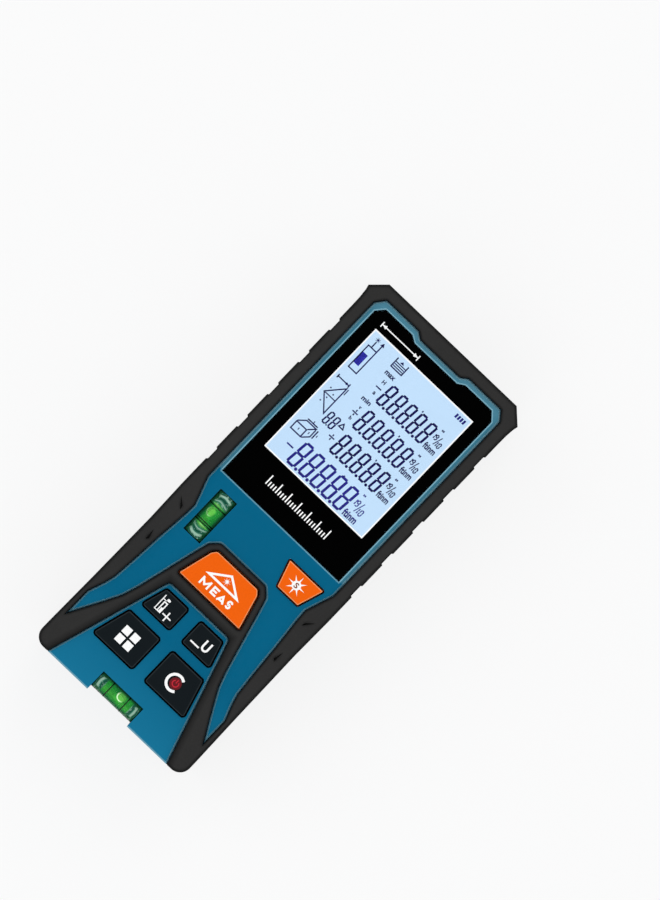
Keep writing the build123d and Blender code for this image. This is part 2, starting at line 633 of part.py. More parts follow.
# ---------------------------------------------------------------- rear grip
with BuildPart() as rear_grip:
    with BuildSketch():
        add(case_plan.sketch)
    extrude(amount=SEAM_Z - SEAM_GAP)
    fillet(rear_grip.faces().sort_by(Axis.Z)[0].edges(), RUBBER_EDGE)
    with BuildSketch(Plane.XY.offset(BACK_Z)):
        add(shell_plan.sketch)
    extrude(amount=SEAM_Z - BACK_Z, mode=Mode.SUBTRACT)
    # the rim under the back is a U that leaves the hard end block free
    with BuildSketch():
        add(case_plan.sketch)
        offset(amount=-RIM_WIDTH, kind=Kind.INTERSECTION)
        with Locations((0, END_Y)):
            Rectangle(2 * BLOCK_X, 8.0, align=(Align.CENTER, Align.MIN))
    extrude(amount=BACK_Z, mode=Mode.SUBTRACT)
    add(side_notches.part, mode=Mode.SUBTRACT)
    block((-BEZEL_X - 0.4, 50.0, BEZEL_Z0 - 0.4), (BEZEL_X + 0.4, TOP_Y, SEAM_Z), mode=Mode.SUBTRACT)
save(rear_grip, "rear_grip")

CASE_HEAD_T = 1.4
CROSS_LENGTH, CROSS_WIDTH, CROSS_DEPTH = 2.2, 0.5, 0.8  # driver recess
with BuildPart() as case_screws:
    discs(CASE_SCREWS, CASE_HEAD_R, CASE_HEAD_Z - CASE_HEAD_T, CASE_HEAD_Z)
    discs(CASE_SCREWS, CASE_SCREW_R, CASE_HEAD_Z, CASE_SCREW_TIP)
    with BuildSketch(Plane.XY.offset(CASE_HEAD_Z - CASE_HEAD_T)):
        with Locations(*CASE_SCREWS):
            Rectangle(CROSS_LENGTH, CROSS_WIDTH)
            Rectangle(CROSS_WIDTH, CROSS_LENGTH)
    extrude(amount=CROSS_DEPTH, mode=Mode.SUBTRACT)
save(case_screws, "case_screws")

with BuildPart() as rear_label:
    block((-LABEL_X, LABEL_Y0, BACK_Z), (LABEL_X, LABEL_Y1, BACK_Z + LABEL_T))
save(rear_label, "rear_label")

with BuildPart() as tripod_insert:
    discs([TRIPOD], INSERT_R, BACK_Z, INSERT_TOP)
    discs([TRIPOD], TRIPOD_R, BACK_Z, BACK_Z + TRIPOD_DEPTH, mode=Mode.SUBTRACT)
save(tripod_insert, "tripod_insert")

# ---------------------------------------------------------------- battery cover
RIDGE_COUNT, RIDGE_PITCH = 4, 1.6
RIDGE_LENGTH, RIDGE_WIDTH, RIDGE_HEIGHT = 11.0, 0.8, 0.25
with BuildPart() as battery_cover:
    block((-COVER_X, HINGE_Y, BACK_Z), (COVER_X, BAY_Y1, BACK_Z + COVER_T))
    block((-1.2, HINGE_Y + 5.0, BACK_Z + COVER_T), (1.2, BAY_Y1 - 5.0, BACK_Z + COVER_T + 1.2))
    # grip ridges by the fingernail recess
    with BuildSketch(Plane.XY.offset(BACK_Z)):
        with Locations((0, BAY_Y1 - 5.0)):
            with GridLocations(1.0, RIDGE_PITCH, 1, RIDGE_COUNT):
                SlotOverall(RIDGE_LENGTH, RIDGE_WIDTH)
    extrude(amount=-RIDGE_HEIGHT)
    # round hinge end and its two pins
    with Locations(Location((0, HINGE_Y, HINGE_Z), (0, 90, 0))):
        Cylinder(KNUCKLE_R, 2 * COVER_X)
        Cylinder(PIN_R, 2 * PIN_X)
save(battery_cover, "battery_cover")


# ---------------------------------------------------------------- batteries and their contacts
def cell(x, nub_towards):
    """AAA cell at x, with its nub towards +Y or -Y."""
    flat_y = CELL_Y0 if nub_towards > 0 else CELL_Y0 + CELL_LENGTH
    upright = (Align.CENTER, Align.CENTER, Align.MIN)
    with BuildPart(Plane((x, flat_y, CELL_Z), z_dir=(0, nub_towards, 0))) as battery:
        Cylinder(CELL_R, CELL_LENGTH - NUB_LENGTH, align=upright)
        fillet(battery.edges().filter_by(GeomType.CIRCLE), 0.4)
        Cylinder(NUB_R, CELL_LENGTH, align=upright)
    return battery


save(cell(-CELL_X, 1), "battery_left")
save(cell(CELL_X, -1), "battery_right")

CONTACT_Y0 = BAY_Y0 + CONTACT_T  # inner faces of the contact plates
CONTACT_Y1 = BAY_Y1 - CONTACT_T
PLATE_X = 4.2
CELL_Y1 = CELL_Y0 + CELL_LENGTH
with BuildPart() as contact_plates:
    for x in (-CELL_X, CELL_X):
        block((x - PLATE_X, BAY_Y0, CELL_Z - 4.0), (x + PLATE_X, CONTACT_Y0, BAY_ROOF_Z))
        block((x - TAB_X, BAY_Y0, BAY_ROOF_Z), (x + TAB_X, CONTACT_Y0, BOARD_Z))
    block(
        (-CELL_X - PLATE_X, CONTACT_Y1, CELL_Z - 4.0),
        (CELL_X + PLATE_X, BAY_Y1, CELL_Z + 4.0),
    )
    # pressed dimples that meet the nubs
    for x, low_y, high_y in ((CELL_X, CONTACT_Y0, CELL_Y0), (-CELL_X, CELL_Y1, CONTACT_Y1)):
        with Locations(Location((x, (low_y + high_y) / 2, CELL_Z), (90, 0, 0))):
            Cylinder(1.8, high_y - low_y)
save(contact_plates, "contact_plates")


def coil(x, y, towards, height):
    """Contact spring of a cell's flat end: two turns of wire that start at y."""
    wire_r = 0.2
    with BuildPart() as spring:
        with BuildLine():
            wire = Helix(
                pitch=(height - 2 * wire_r) / 2,
                height=height - 2 * wire_r,
                radius=2.8,
                center=(x, y + towards * wire_r, CELL_Z),
                direction=(0, towards, 0),
            )
        with BuildSketch(Plane(wire @ 0, z_dir=wire % 0)):
            Circle(wire_r)
        sweep(path=wire)
    return spring.part


with BuildPart() as contact_springs:
    add(coil(-CELL_X, CONTACT_Y0, 1, CELL_Y0 - CONTACT_Y0))
    add(coil(CELL_X, CONTACT_Y1, -1, CONTACT_Y1 - CELL_Y1))
save(contact_springs, "contact_springs")

# ---------------------------------------------------------------- optics
RECEIVER_SEAT_Y = 50.6
LASER_SEAT_Y = 50.4
LASER_TUNNEL_R = 4.6
LASER_FRONT_Y = 54.6
LASER_LENS_R = 2.6
DIODE_R = 2.8
with BuildPart() as optics_chassis:
    # the two tunnels, the web between them, and the feet that take the screws
    add(
        turned(
            RECEIVER_X,
            [
                (0, BARREL_FRONT_Y), (TUNNEL_R, BARREL_FRONT_Y), (TUNNEL_R, 46.0),
                (4.2, 27.5), (4.2, DETECTOR_Y), (0, DETECTOR_Y),
            ],
        )
    )
    add(
        turned(
            LASER_X,
            [
                (0, BARREL_BACK_Y), (LASER_TUNNEL_R, BARREL_BACK_Y),
                (LASER_TUNNEL_R, LASER_FRONT_Y), (0, LASER_FRONT_Y),
            ],
        )
    )
    block((LASER_X, 38.0, OPTICS_Z - 1.4), (RECEIVER_X, 54.0, OPTICS_Z + 1.4))
    block((-9.4, 31.0, CHASSIS_Z), (-5.2, 53.0, CHASSIS_Z + CHASSIS_T))
    block((-8.2, 36.0, CHASSIS_Z), (-6.2, 48.0, OPTICS_Z))
    block((3.0, 38.8, CHASSIS_Z), (13.4, 43.2, CHASSIS_Z + CHASSIS_T))
    # bores
    add(
        turned(
            RECEIVER_X,
            [
                (0, BARREL_FRONT_Y), (LENS_R, BARREL_FRONT_Y), (LENS_R, RECEIVER_SEAT_Y),
                (5.0, RECEIVER_SEAT_Y), (5.0, 46.0), (2.7, 27.5), (2.7, DETECTOR_Y),
                (0, DETECTOR_Y),
            ],
        ),
        mode=Mode.SUBTRACT,
    )
    add(
        turned(
            LASER_X,
            [
                (0, BARREL_BACK_Y), (BARREL_R, BARREL_BACK_Y), (BARREL_R, LASER_FRONT_Y),
                (0, LASER_FRONT_Y),
            ],
        ),
        mode=Mode.SUBTRACT,
    )
    discs(CHASSIS_SCREWS, CHASSIS_SCREW_R, CHASSIS_Z, CHASSIS_Z + CHASSIS_T, mode=Mode.SUBTRACT)
save(optics_chassis, "optics_chassis")

CHASSIS_HEAD_R, CHASSIS_HEAD_T = 1.7, 1.2
with BuildPart() as chassis_screws:
    foot_top = CHASSIS_Z + CHASSIS_T
    discs(CHASSIS_SCREWS, CHASSIS_HEAD_R, foot_top, foot_top + CHASSIS_HEAD_T)
    discs(CHASSIS_SCREWS, CHASSIS_SCREW_R, CHASSIS_SCREW_TIP, foot_top)
save(chassis_screws, "chassis_screws")

with BuildPart() as laser_barrel:
    add(
        turned(
            LASER_X,
            [
                (BARREL_R, BARREL_BACK_Y), (BARREL_R, LASER_FRONT_Y),
                (LASER_LENS_R, LASER_FRONT_Y), (LASER_LENS_R, LASER_SEAT_Y),
                (2.0, LASER_SEAT_Y), (2.0, 42.0), (2.4, 42.0), (2.4, 38.8), (DIODE_R, 38.8),
                (DIODE_R, BARREL_BACK_Y),
            ],
        )
    )
save(laser_barrel, "laser_barrel")

with BuildPart() as laser_diode:
    add(
        turned(
            LASER_X,
            [(0, 37.6), (DIODE_R, 37.6), (DIODE_R, 38.8), (2.3, 38.8), (2.3, 41.5), (0, 41.5)],
        )
    )
    with Locations(Location((LASER_X, 33.4, OPTICS_Z), (-90, 0, 0))):
        with PolarLocations(1.27, 3, start_angle=90):
            Cylinder(0.22, 37.6 - 33.4, align=(Align.CENTER, Align.CENTER, Align.MIN))
save(laser_diode, "laser_diode")

with BuildPart() as laser_driver:
    block((LASER_X - 3.3, 32.4, OPTICS_Z - 3.5), (LASER_X + 3.3, 33.4, OPTICS_Z + 3.5))
save(laser_driver, "laser_driver")

with BuildPart() as laser_lens:
    add(lens(LASER_X, LASER_LENS_R, LASER_SEAT_Y, 0.8, 0.8))
save(laser_lens, "laser_lens")

with BuildPart() as receiver_lens:
    add(lens(RECEIVER_X, LENS_R, RECEIVER_SEAT_Y, 1.4, 2.0))
save(receiver_lens, "receiver_lens")

with BuildPart() as lens_retainer:
    add(turned(RECEIVER_X, [(5.2, 52.4), (LENS_R, 52.4), (LENS_R, 53.4), (5.2, 53.4)]))
save(lens_retainer, "lens_retainer")

with BuildPart() as receiver_filter:
    add(turned(RECEIVER_X, [(0, 26.3), (2.7, 26.3), (2.7, 27.3), (0, 27.3)]))
save(receiver_filter, "receiver_filter")

with BuildPart() as photodiode:
    add(turned(RECEIVER_X, [(0, DETECTOR_Y), (2.5, DETECTOR_Y), (2.5, 25.5), (0, 25.5)]))
save(photodiode, "photodiode")

with BuildPart() as detector_board:
    block(
        (RECEIVER_X - 6.0, DETECTOR_Y - BOARD_T, 3.4),
        (RECEIVER_X + 6.0, DETECTOR_Y, 15.4),
    )
save(detector_board, "detector_board")

FLEX = [  # y, z points round the ribbon, from the detector board up to the main board
    (21.7, 9.5), (21.7, 13.6), (18.0, BOARD_Z), (14.5, BOARD_Z), (14.5, BOARD_Z - 0.2),
    (17.9, BOARD_Z - 0.2), (21.5, 13.5), (21.5, 9.5),
]
with BuildPart() as optics_flex:
    with BuildSketch(Plane.YZ.offset(-0.5)):
        Polygon(*FLEX, align=None)
    extrude(amount=5.0)
save(optics_flex, "optics_flex")

# ---------------------------------------------------------------- bezel and its two windows
PORTS = {  # centre x, radius of the window, radius of the hole behind it
    "laser_window": (LASER_X, 2.8, 2.3),
    "receiver_window": (RECEIVER_X, 6.0, 5.4),
}
SLOT_COUNT, SLOT_PITCH = 4, 1.8
SLOT_X, SLOT_WIDTH, SLOT_DEPTH = 10.6, 0.9, 0.3
SLOT_Z0, SLOT_Z1 = 5.0, 13.4
WINDOW_BACK_Y = BEZEL_FACE_Y - 1.0
WALL_BACK_Y = 56.6
with BuildPart() as optics_bezel:
    block((-BEZEL_X, WALL_BACK_Y, BEZEL_Z0), (BEZEL_X, BEZEL_FACE_Y, BEZEL_Z1))
    chamfer(optics_bezel.faces().sort_by(Axis.Y)[-1].edges(), 0.4)
    block((-18.8, WALL_BACK_Y - 1.0, FLOOR_Z + 0.1), (18.8, WALL_BACK_Y, BOARD_Z - 0.2))
    for x, window_r, hole_r in PORTS.values():
        with Locations(Location((x, BEZEL_FACE_Y, OPTICS_Z), (90, 0, 0))):
            Cylinder(window_r, 2.0, mode=Mode.SUBTRACT)
            Cylinder(hole_r, 10.0, mode=Mode.SUBTRACT)
    # shallow slots on the blank end
    for i in range(SLOT_COUNT):
        x = SLOT_X + SLOT_PITCH * i
        low, high = (x, BEZEL_FACE_Y - SLOT_DEPTH, SLOT_Z0), (x + SLOT_WIDTH, BEZEL_FACE_Y, SLOT_Z1)
        block(low, high, mode=Mode.SUBTRACT)
save(optics_bezel, "optics_bezel")

for port_name, (x, window_r, _) in PORTS.items():
    with BuildPart() as port:
        with Locations(Location((x, WINDOW_BACK_Y + 0.4, OPTICS_Z), (90, 0, 0))):
            Cylinder(window_r, 0.8)
    save(port, port_name)
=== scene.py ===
"""Looks of the handheld laser distance meter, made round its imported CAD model.

Blender works in metres.  The layouts of the printed marks and of the display are written in
millimetres, in the frame of the CAD model, and are turned into metres where a mesh is made.
"""
import json
import math

import bmesh
import bpy
from mathutils import Matrix, Vector


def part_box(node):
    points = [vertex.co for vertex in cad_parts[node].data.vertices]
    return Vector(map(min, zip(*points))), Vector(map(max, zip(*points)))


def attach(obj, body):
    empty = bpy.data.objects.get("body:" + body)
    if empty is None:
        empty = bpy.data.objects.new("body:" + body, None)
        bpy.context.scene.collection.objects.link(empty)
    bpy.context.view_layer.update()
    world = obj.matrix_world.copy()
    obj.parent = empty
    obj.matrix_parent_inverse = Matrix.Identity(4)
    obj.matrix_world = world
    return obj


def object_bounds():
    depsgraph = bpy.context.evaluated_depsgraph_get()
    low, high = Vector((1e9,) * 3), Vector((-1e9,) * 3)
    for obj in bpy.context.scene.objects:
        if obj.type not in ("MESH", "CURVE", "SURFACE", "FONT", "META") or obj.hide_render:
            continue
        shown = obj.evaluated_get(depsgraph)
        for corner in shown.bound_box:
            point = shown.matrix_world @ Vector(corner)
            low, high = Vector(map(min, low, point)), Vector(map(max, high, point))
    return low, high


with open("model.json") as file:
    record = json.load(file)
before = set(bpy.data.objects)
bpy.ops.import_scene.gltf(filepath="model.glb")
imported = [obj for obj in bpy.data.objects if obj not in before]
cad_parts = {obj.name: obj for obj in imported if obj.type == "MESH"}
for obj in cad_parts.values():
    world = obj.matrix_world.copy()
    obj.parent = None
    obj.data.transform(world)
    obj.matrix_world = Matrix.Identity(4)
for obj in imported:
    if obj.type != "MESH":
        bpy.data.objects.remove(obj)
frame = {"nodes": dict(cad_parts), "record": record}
cad_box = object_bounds()
nodes = frame["nodes"]
MM = 0.001

# ---------------------------------------------------------------- colours, as linear red, green, blue
BLUE = (0.0, 0.106, 0.205)
BLUE_EDGE_HIGHLIGHT = (0.02, 0.19, 0.32)
BLUE_PALE = (0.006, 0.155, 0.28)
BLUE_FRAME = (0.046, 0.175, 0.245)
BLUE_FRAME_TOP = (0.075, 0.225, 0.300)
BLUE_BEVEL_HIGHLIGHT = (0.13, 0.32, 0.42)
FRAME_BEVEL_HIGHLIGHT = (0.21, 0.43, 0.53)
GROOVE_SHADE = (0.0, 0.012, 0.03)
RUBBER = (0.0225, 0.0220, 0.0215)
RUBBER_SHADE = (0.004, 0.004, 0.004)
ORANGE = (0.80, 0.110, 0.003)
KEY_BLACK = (0.0045, 0.0075, 0.0095)
KEY_SIDE_SHADE = (0.0015, 0.0018, 0.002)
DISPLAY_FIELD = (0.53, 0.73, 0.95)
DISPLAY_UNLIT = (0.02, 0.02, 0.025)
DISPLAY_GLOW = 1.08  # strength of its light
WHITE = (1.0, 1.0, 1.0)
VIAL_SKIN_SHADE = (0.0, 0.045, 0.022)
VIAL_SKIN_LIT = (0.05, 0.34, 0.12)
DYE_DARK = (0.006, 0.22, 0.03)
DYE_LIGHT = (0.03, 0.40, 0.05)
DYE_HIGHLIGHT = (0.08, 0.48, 0.06)
DYE_SHADE = (0.002, 0.10, 0.03)
BUBBLE_HIGHLIGHT = (0.24, 0.66, 0.12)
BUBBLE_GLINT = (0.80, 0.95, 0.70)
DEEP_TEAL = (0.002, 0.035, 0.030)
MID_TEAL = (0.03, 0.19, 0.14)
MINT_HIGHLIGHT = (0.46, 0.70, 0.58)
LEAF = (0.06, 0.34, 0.09)
BRIGHT_LEAF = (0.26, 0.62, 0.13)
SOLDER_MASK = (0.004, 0.060, 0.022)
MASK_ON_COPPER = (0.008, 0.105, 0.036)
PAD_PLATING = (0.70, 0.52, 0.22)
BRASS = (0.62, 0.42, 0.14)
CELL_PRINT = (0.012, 0.013, 0.018)
CELL_SHOULDER = (0.45, 0.20, 0.05)
CELL_STEEL = ((0.52, 0.52, 0.50), (0.66, 0.66, 0.64))
FLOOR_GREYS = ((0.125, 0.125, 0.125), (0.135, 0.135, 0.135))

# ---------------------------------------------------------------- places and sizes, in millimetres
PALE_END = (-38, -60)  # the blue grows paler between these places along the meter
FRAME_TOP = (52, 55)  # and so does the frame round the window
GROOVE_LEVEL = 22  # height over which the blue shell's upright walls are in shade
FOOT_WALL = 1.5  # except this near the foot end, which is in the open
PLATE_TOP = (9.8, -27.9)  # corners of the key plate's right half
PLATE_FOOT = (19.6, -60.0)
RUBBER_ROLL = 1.2  # radius over which the rubber is painted darker into its edges, as shade
DISPLAY = (-16.15, 11.4, 16.15, 50.1)  # seen part: low x, low y, high x, high y
DISPLAY_RIM = (0.42, 0.22)  # the bright line at its edge fades in between these depths
PIXEL_ROW = 0.15  # half the pitch of the display's faint rows
THREAD_PITCH = 1.27
TRACE_PITCH = 1.0
TRACE_EDGE = (0.22, 0.28)  # from the middle of the gap between two traces
TRACE_WANDER = 4  # how far a trace strays sideways, at most
VIAL_HALF = 6.35  # half the length of a vial tube
PLUG_DEPTH = 4.0  # how deep the painted light and dark bands reach into a vial's clear end
DYE_HIGHLIGHT_REACH = (0.1, 1.3)  # distances from the brightest line where the painted highlight is full, and gone
DYE_HIGHLIGHT_ASIDE = 0.5  # from that painted highlight's line to the middle of the vial
DYE_SHADE_REACH = (1.3, 2.1)  # distances from the middle where the painted shade on the flanks starts, and is full
BUBBLE_ALONG = 0.9  # from the middle of the vial to the bubble's
BUBBLE_ACROSS = (-0.6, 0.7)  # in the side vial and in the end vial
BUBBLE_LENGTH = 1.2  # half sizes of the bubble
BUBBLE_WIDTH = 1.05
INK = 0.03  # thickness of a printed mark
CELL_BARE_END = 1.6
CELL_SHOULDER_LENGTH = 11  # of the sleeve's coloured part, from the cell's top


# ---------------------------------------------------------------- small node helpers
class Look:
    """A material with a Principled shader, and short ways to add the nodes that feed it."""

    def __init__(self, name, **fixed):
        self.material = bpy.data.materials.new(name)
        self.material.use_nodes = True
        self.tree = self.material.node_tree
        self.shader = self.tree.nodes["Principled BSDF"]
        for socket, value in fixed.items():
            self.shader.inputs[socket.replace("_", " ")].default_value = value
        self.place = self.tree.nodes.new("ShaderNodeTexCoord").outputs["Object"]

    def link(self, value, socket):
        """Give a socket a number, a colour or another node's output."""
        if isinstance(value, bpy.types.NodeSocket):
            self.tree.links.new(value, socket)
        elif value is not None:
            socket.default_value = value

    def feed(self, socket, value):
        self.link(value, self.shader.inputs[socket])

    def noise(self, size, detail=2.0, stretch=(1, 1, 1)):
        """Cloudy noise whose lumps are about size millimetres across."""
        mapping = self.tree.nodes.new("ShaderNodeMapping")
        mapping.inputs["Scale"].default_value = stretch
        self.link(self.place, mapping.inputs["Vector"])
        node = self.tree.nodes.new("ShaderNodeTexNoise")
        node.inputs["Scale"].default_value = 1 / (size * MM)
        node.inputs["Detail"].default_value = detail
        self.link(mapping.outputs[0], node.inputs["Vector"])
        return node.outputs["Fac"]

    def cells(self, size):
        """Distance to the middle of cells about size millimetres across."""
        node = self.tree.nodes.new("ShaderNodeTexVoronoi")
        node.inputs["Scale"].default_value = 1 / (size * MM)
        self.link(self.place, node.inputs["Vector"])
        return node.outputs["Distance"]

    def maths(self, operation, *values):
        """One step of arithmetic on numbers or other nodes' outputs."""
        node = self.tree.nodes.new("ShaderNodeMath")
        node.operation = operation
        for value, socket in zip(values, node.inputs):
            self.link(value, socket)
        return node.outputs[0]

    def spread(self, value, low, high, to_low=0.0, to_high=1.0):
        """Map low..high to to_low..to_high, and clamp."""
        node = self.tree.nodes.new("ShaderNodeMapRange")
        for number, socket in zip((value, low, high, to_low, to_high), node.inputs):
            self.link(number, socket)
        return node.outputs[0]

    def mix(self, share, first, second):
        """Mix two colours."""
        node = self.tree.nodes.new("ShaderNodeMix")
        node.data_type = "RGBA"
        self.link(share, node.inputs["Factor"])
        for colour, socket in ((first, node.inputs[6]), (second, node.inputs[7])):
            self.link((*colour, 1) if isinstance(colour, tuple) else colour, socket)
        return node.outputs[2]

    def axes(self):
        """The place on the object as three numbers, in metres."""
        node = self.tree.nodes.new("ShaderNodeSeparateXYZ")
        self.link(self.place, node.inputs[0])
        return node.outputs

    def rounded(self, radius):
        """Normal of the surface with its edges rounded by radius millimetres."""
        node = self.tree.nodes.new("ShaderNodeBevel")
        node.samples = 6
        node.inputs["Radius"].default_value = radius * MM
        return node.outputs[0]

    def flat_normal(self):
        """Normal of the bare surface."""
        return self.tree.nodes.new("ShaderNodeNewGeometry").outputs["True Normal"]

    def upward(self, normal):
        """How far a normal points up: 1 on level faces, 0 on upright ones."""
        node = self.tree.nodes.new("ShaderNodeSeparateXYZ")
        self.link(normal, node.inputs[0])
        return node.outputs[2]

    def edges(self, radius):
        """1 on sharp edges, falling to 0 at radius millimetres from them."""
        highlight_from, highlight_through = 0.985, 0.80  # cosines of the rounded normal to the bare one
        node = self.tree.nodes.new("ShaderNodeVectorMath")
        node.operation = "DOT_PRODUCT"
        self.link(self.rounded(radius), node.inputs[0])
        self.link(self.flat_normal(), node.inputs[1])
        return self.spread(node.outputs["Value"], highlight_from, highlight_through)

    def bump(self, height, depth, normal=None):
        """Feed the shader's normal with height, as relief of depth millimetres."""
        node = self.tree.nodes.new("ShaderNodeBump")
        node.inputs["Distance"].default_value = depth * MM
        self.link(height, node.inputs["Height"])
        self.link(normal, node.inputs["Normal"])
        self.feed("Normal", node.outputs[0])


def tinted(colour, by):
    """A colour made lighter or darker by a share of itself."""
    return tuple(min(1.0, channel * (1 + by)) for channel in colour)


# ---------------------------------------------------------------- materials
def moulded(name, colour, rough, grain=0.2, depth=0.005, edge_highlight=None, specular=0.3, drift=0.06,
            edge=0.16):
    """Moulded plastic or rubber: drifting shade, spark-eroded grain, and edges painted lighter in
    patches, as a painted highlight.
    """
    look = Look(name, Specular_IOR_Level=specular)
    shade = look.mix(look.noise(11, 3), tinted(colour, -drift), tinted(colour, drift))
    grain_height = look.noise(grain, 3)
    fine = look.spread(grain_height, 0.3, 0.7)
    shade = look.mix(fine, shade, look.mix(0.5, shade, tinted(colour, 2 * drift)))
    # painted highlight: edges painted lighter in the given colour, broken into patches
    if edge_highlight:
        patches = look.spread(look.noise(2.4, 3), 0.2, 0.6, 0.55, 1)
        shade = look.mix(look.maths("MULTIPLY", look.edges(edge), patches), shade, edge_highlight)
    look.feed("Base Color", shade)
    look.feed("Roughness", look.spread(look.noise(1.7, 4), 0.3, 0.7, rough - 0.07, rough + 0.07))
    look.bump(grain_height, depth, look.rounded(edge * 0.7))
    return look


def shell_look():
    """Blue shell, paler on the narrow frame round the window."""
    # the shell's edges get a painted highlight in this lighter blue
    look = moulded("blue_shell", BLUE, 0.5, edge_highlight=BLUE_EDGE_HIGHLIGHT, specular=0.06)
    _, y, z = look.axes()
    body = look.shader.inputs["Base Color"].links[0].from_socket
    window_low, window_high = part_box("display_window")
    above = look.spread(y, window_low.y - 0.1 * MM, window_low.y + 0.4 * MM)
    raised = look.maths("GREATER_THAN", z, window_high.z - 0.2 * MM)
    by_window = look.maths("MULTIPLY", above, raised)
    low_end = look.spread(y, *(place * MM for place in PALE_END))
    body = look.mix(look.maths("MULTIPLY", low_end, raised), body, BLUE_PALE)
    near_top = look.spread(y, *(place * MM for place in FRAME_TOP))
    frame_blue = look.mix(near_top, BLUE_FRAME, BLUE_FRAME_TOP)
    body = look.mix(look.maths("MULTIPLY", by_window, 0.85), body, frame_blue)
    # painted highlight: the narrow bevels round each raised area are painted lighter, as if catching
    # the light
    upward = look.upward(look.flat_normal())
    sloping = look.maths("MULTIPLY", look.spread(upward, 0.9, 0.8), look.spread(upward, 0.2, 0.4))
    bevel = look.maths("MULTIPLY", sloping, raised)
    bevel_highlight_colour = look.mix(by_window, BLUE_BEVEL_HIGHLIGHT, FRAME_BEVEL_HIGHLIGHT)
    # the walls of the key openings and of the grooves are in deep shade
    foot_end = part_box("front_shell")[0].y
    above_grooves = look.maths("GREATER_THAN", z, GROOVE_LEVEL * MM)
    off_foot_end = look.maths("GREATER_THAN", y, foot_end + FOOT_WALL * MM)
    sunk = look.maths("MULTIPLY", above_grooves, off_foot_end)
    steep = look.maths("MULTIPLY", look.spread(upward, 0.4, 0.2), sunk)
    body = look.mix(steep, body, GROOVE_SHADE)
    look.feed("Base Color", look.mix(bevel, body, bevel_highlight_colour))
    return look


def rubber_look():
    """Black over-moulded rubber, painted deep black as shade where its level faces roll into an edge.
    """
    look = moulded("grip_rubber", RUBBER, 0.72, grain=0.3, depth=0.012, specular=0.09, drift=0.15)
    body = look.shader.inputs["Base Color"].links[0].from_socket
    edge_shade = look.spread(look.upward(look.rounded(RUBBER_ROLL)), 0.998, 0.80)
    level = look.spread(look.upward(look.flat_normal()), 0.2, 0.5)
    body = look.mix(look.maths("MULTIPLY", edge_shade, level), body, RUBBER_SHADE)
    # painted shade: the band is painted darker towards the plate between its legs
    x, y, _ = look.axes()
    beyond_top = look.maths("SUBTRACT", y, PLATE_TOP[1] * MM)
    past_side = look.maths("SUBTRACT", look.maths("ABSOLUTE", x), PLATE_TOP[0] * MM)
    lean = math.atan2(PLATE_FOOT[0] - PLATE_TOP[0], PLATE_TOP[1] - PLATE_FOOT[1])
    across = look.maths("MULTIPLY", past_side, math.cos(lean))
    beyond_side = look.maths("ADD", across, look.maths("MULTIPLY", beyond_top, math.sin(lean)))
    beyond = look.maths("MAXIMUM", beyond_top, beyond_side)
    near = look.spread(beyond, 0.3 * MM, 2.0 * MM, 0.75, 0.0)
    look.feed("Base Color", look.mix(look.maths("MULTIPLY", near, level), body, RUBBER_SHADE))
    return look


def key_look(name, colour, highlight_colour, rough):
    """Key with a coloured cap: its bevel round the top is painted lighter as a highlight, and its sides
    are painted near black as shade in the gap round it.
    """
    look = moulded(name, colour, rough, grain=0.22, depth=0.004, edge_highlight=highlight_colour, specular=0.06,
                   edge=0.3)
    cap = look.shader.inputs["Base Color"].links[0].from_socket
    upward = look.upward(look.flat_normal())
    # painted highlight on the bevel round the top
    cap = look.mix(look.spread(upward, 0.96, 0.80, 0.0, 0.8), cap, highlight_colour)
    # painted shade on the upright sides, as in the gap round the key
    look.feed("Base Color", look.mix(look.spread(upward, 0.55, 0.45), cap, KEY_SIDE_SHADE))
    return look


def clear(name, tint, rough=0.02, ior=1.49, smudge=5.0):
    """Clear pressed acrylic or glass, with faint wipe marks in its gloss."""
    look = Look(name, Transmission_Weight=1.0, IOR=ior)
    look.feed("Base Color", look.mix(look.noise(smudge, 2), tint, tinted(tint, -0.03)))
    look.feed("Roughness", look.spread(look.noise(smudge / 2, 4), 0.4, 0.75, rough, rough + 0.05))
    return look


def metal(name, colour, rough, grain=0.08, stretch=(1, 1, 6), depth=0.002):
    """Turned, rolled or plated metal with fine directional marks."""
    look = Look(name, Metallic=1.0)
    marks = look.noise(grain, 2, stretch)
    stain = look.noise(3.5, 4)
    look.feed("Base Color", look.mix(stain, tinted(colour, -0.12), tinted(colour, 0.08)))
    look.feed("Roughness", look.spread(marks, 0.3, 0.7, rough - 0.08, rough + 0.1))
    look.bump(marks, depth, look.rounded(0.08))
    return look


def thread_look():
    """Turned brass; inside the tripod bore the relief is a quarter-inch thread."""
    look = metal("brass_insert", BRASS, 0.3)
    low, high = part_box("tripod_insert")
    x, y, z = look.axes()
    middle = (low + high) / 2
    across = look.maths("SUBTRACT", x, middle.x)
    along = look.maths("SUBTRACT", y, middle.y)
    turn = look.maths("DIVIDE", look.maths("ARCTAN2", along, across), 2 * math.pi)
    rise = look.maths("DIVIDE", z, THREAD_PITCH * MM)
    ridge = look.maths("PINGPONG", look.maths("ADD", turn, rise), 0.5)
    squares = look.maths("ADD", look.maths("POWER", across, 2.0), look.maths("POWER", along, 2.0))
    radius = look.maths("SQRT", squares)
    inside = look.maths("LESS_THAN", radius, (high.x - low.x) / 2 * 0.7)
    look.bump(look.maths("MULTIPLY", ridge, inside), 0.6)
    return look


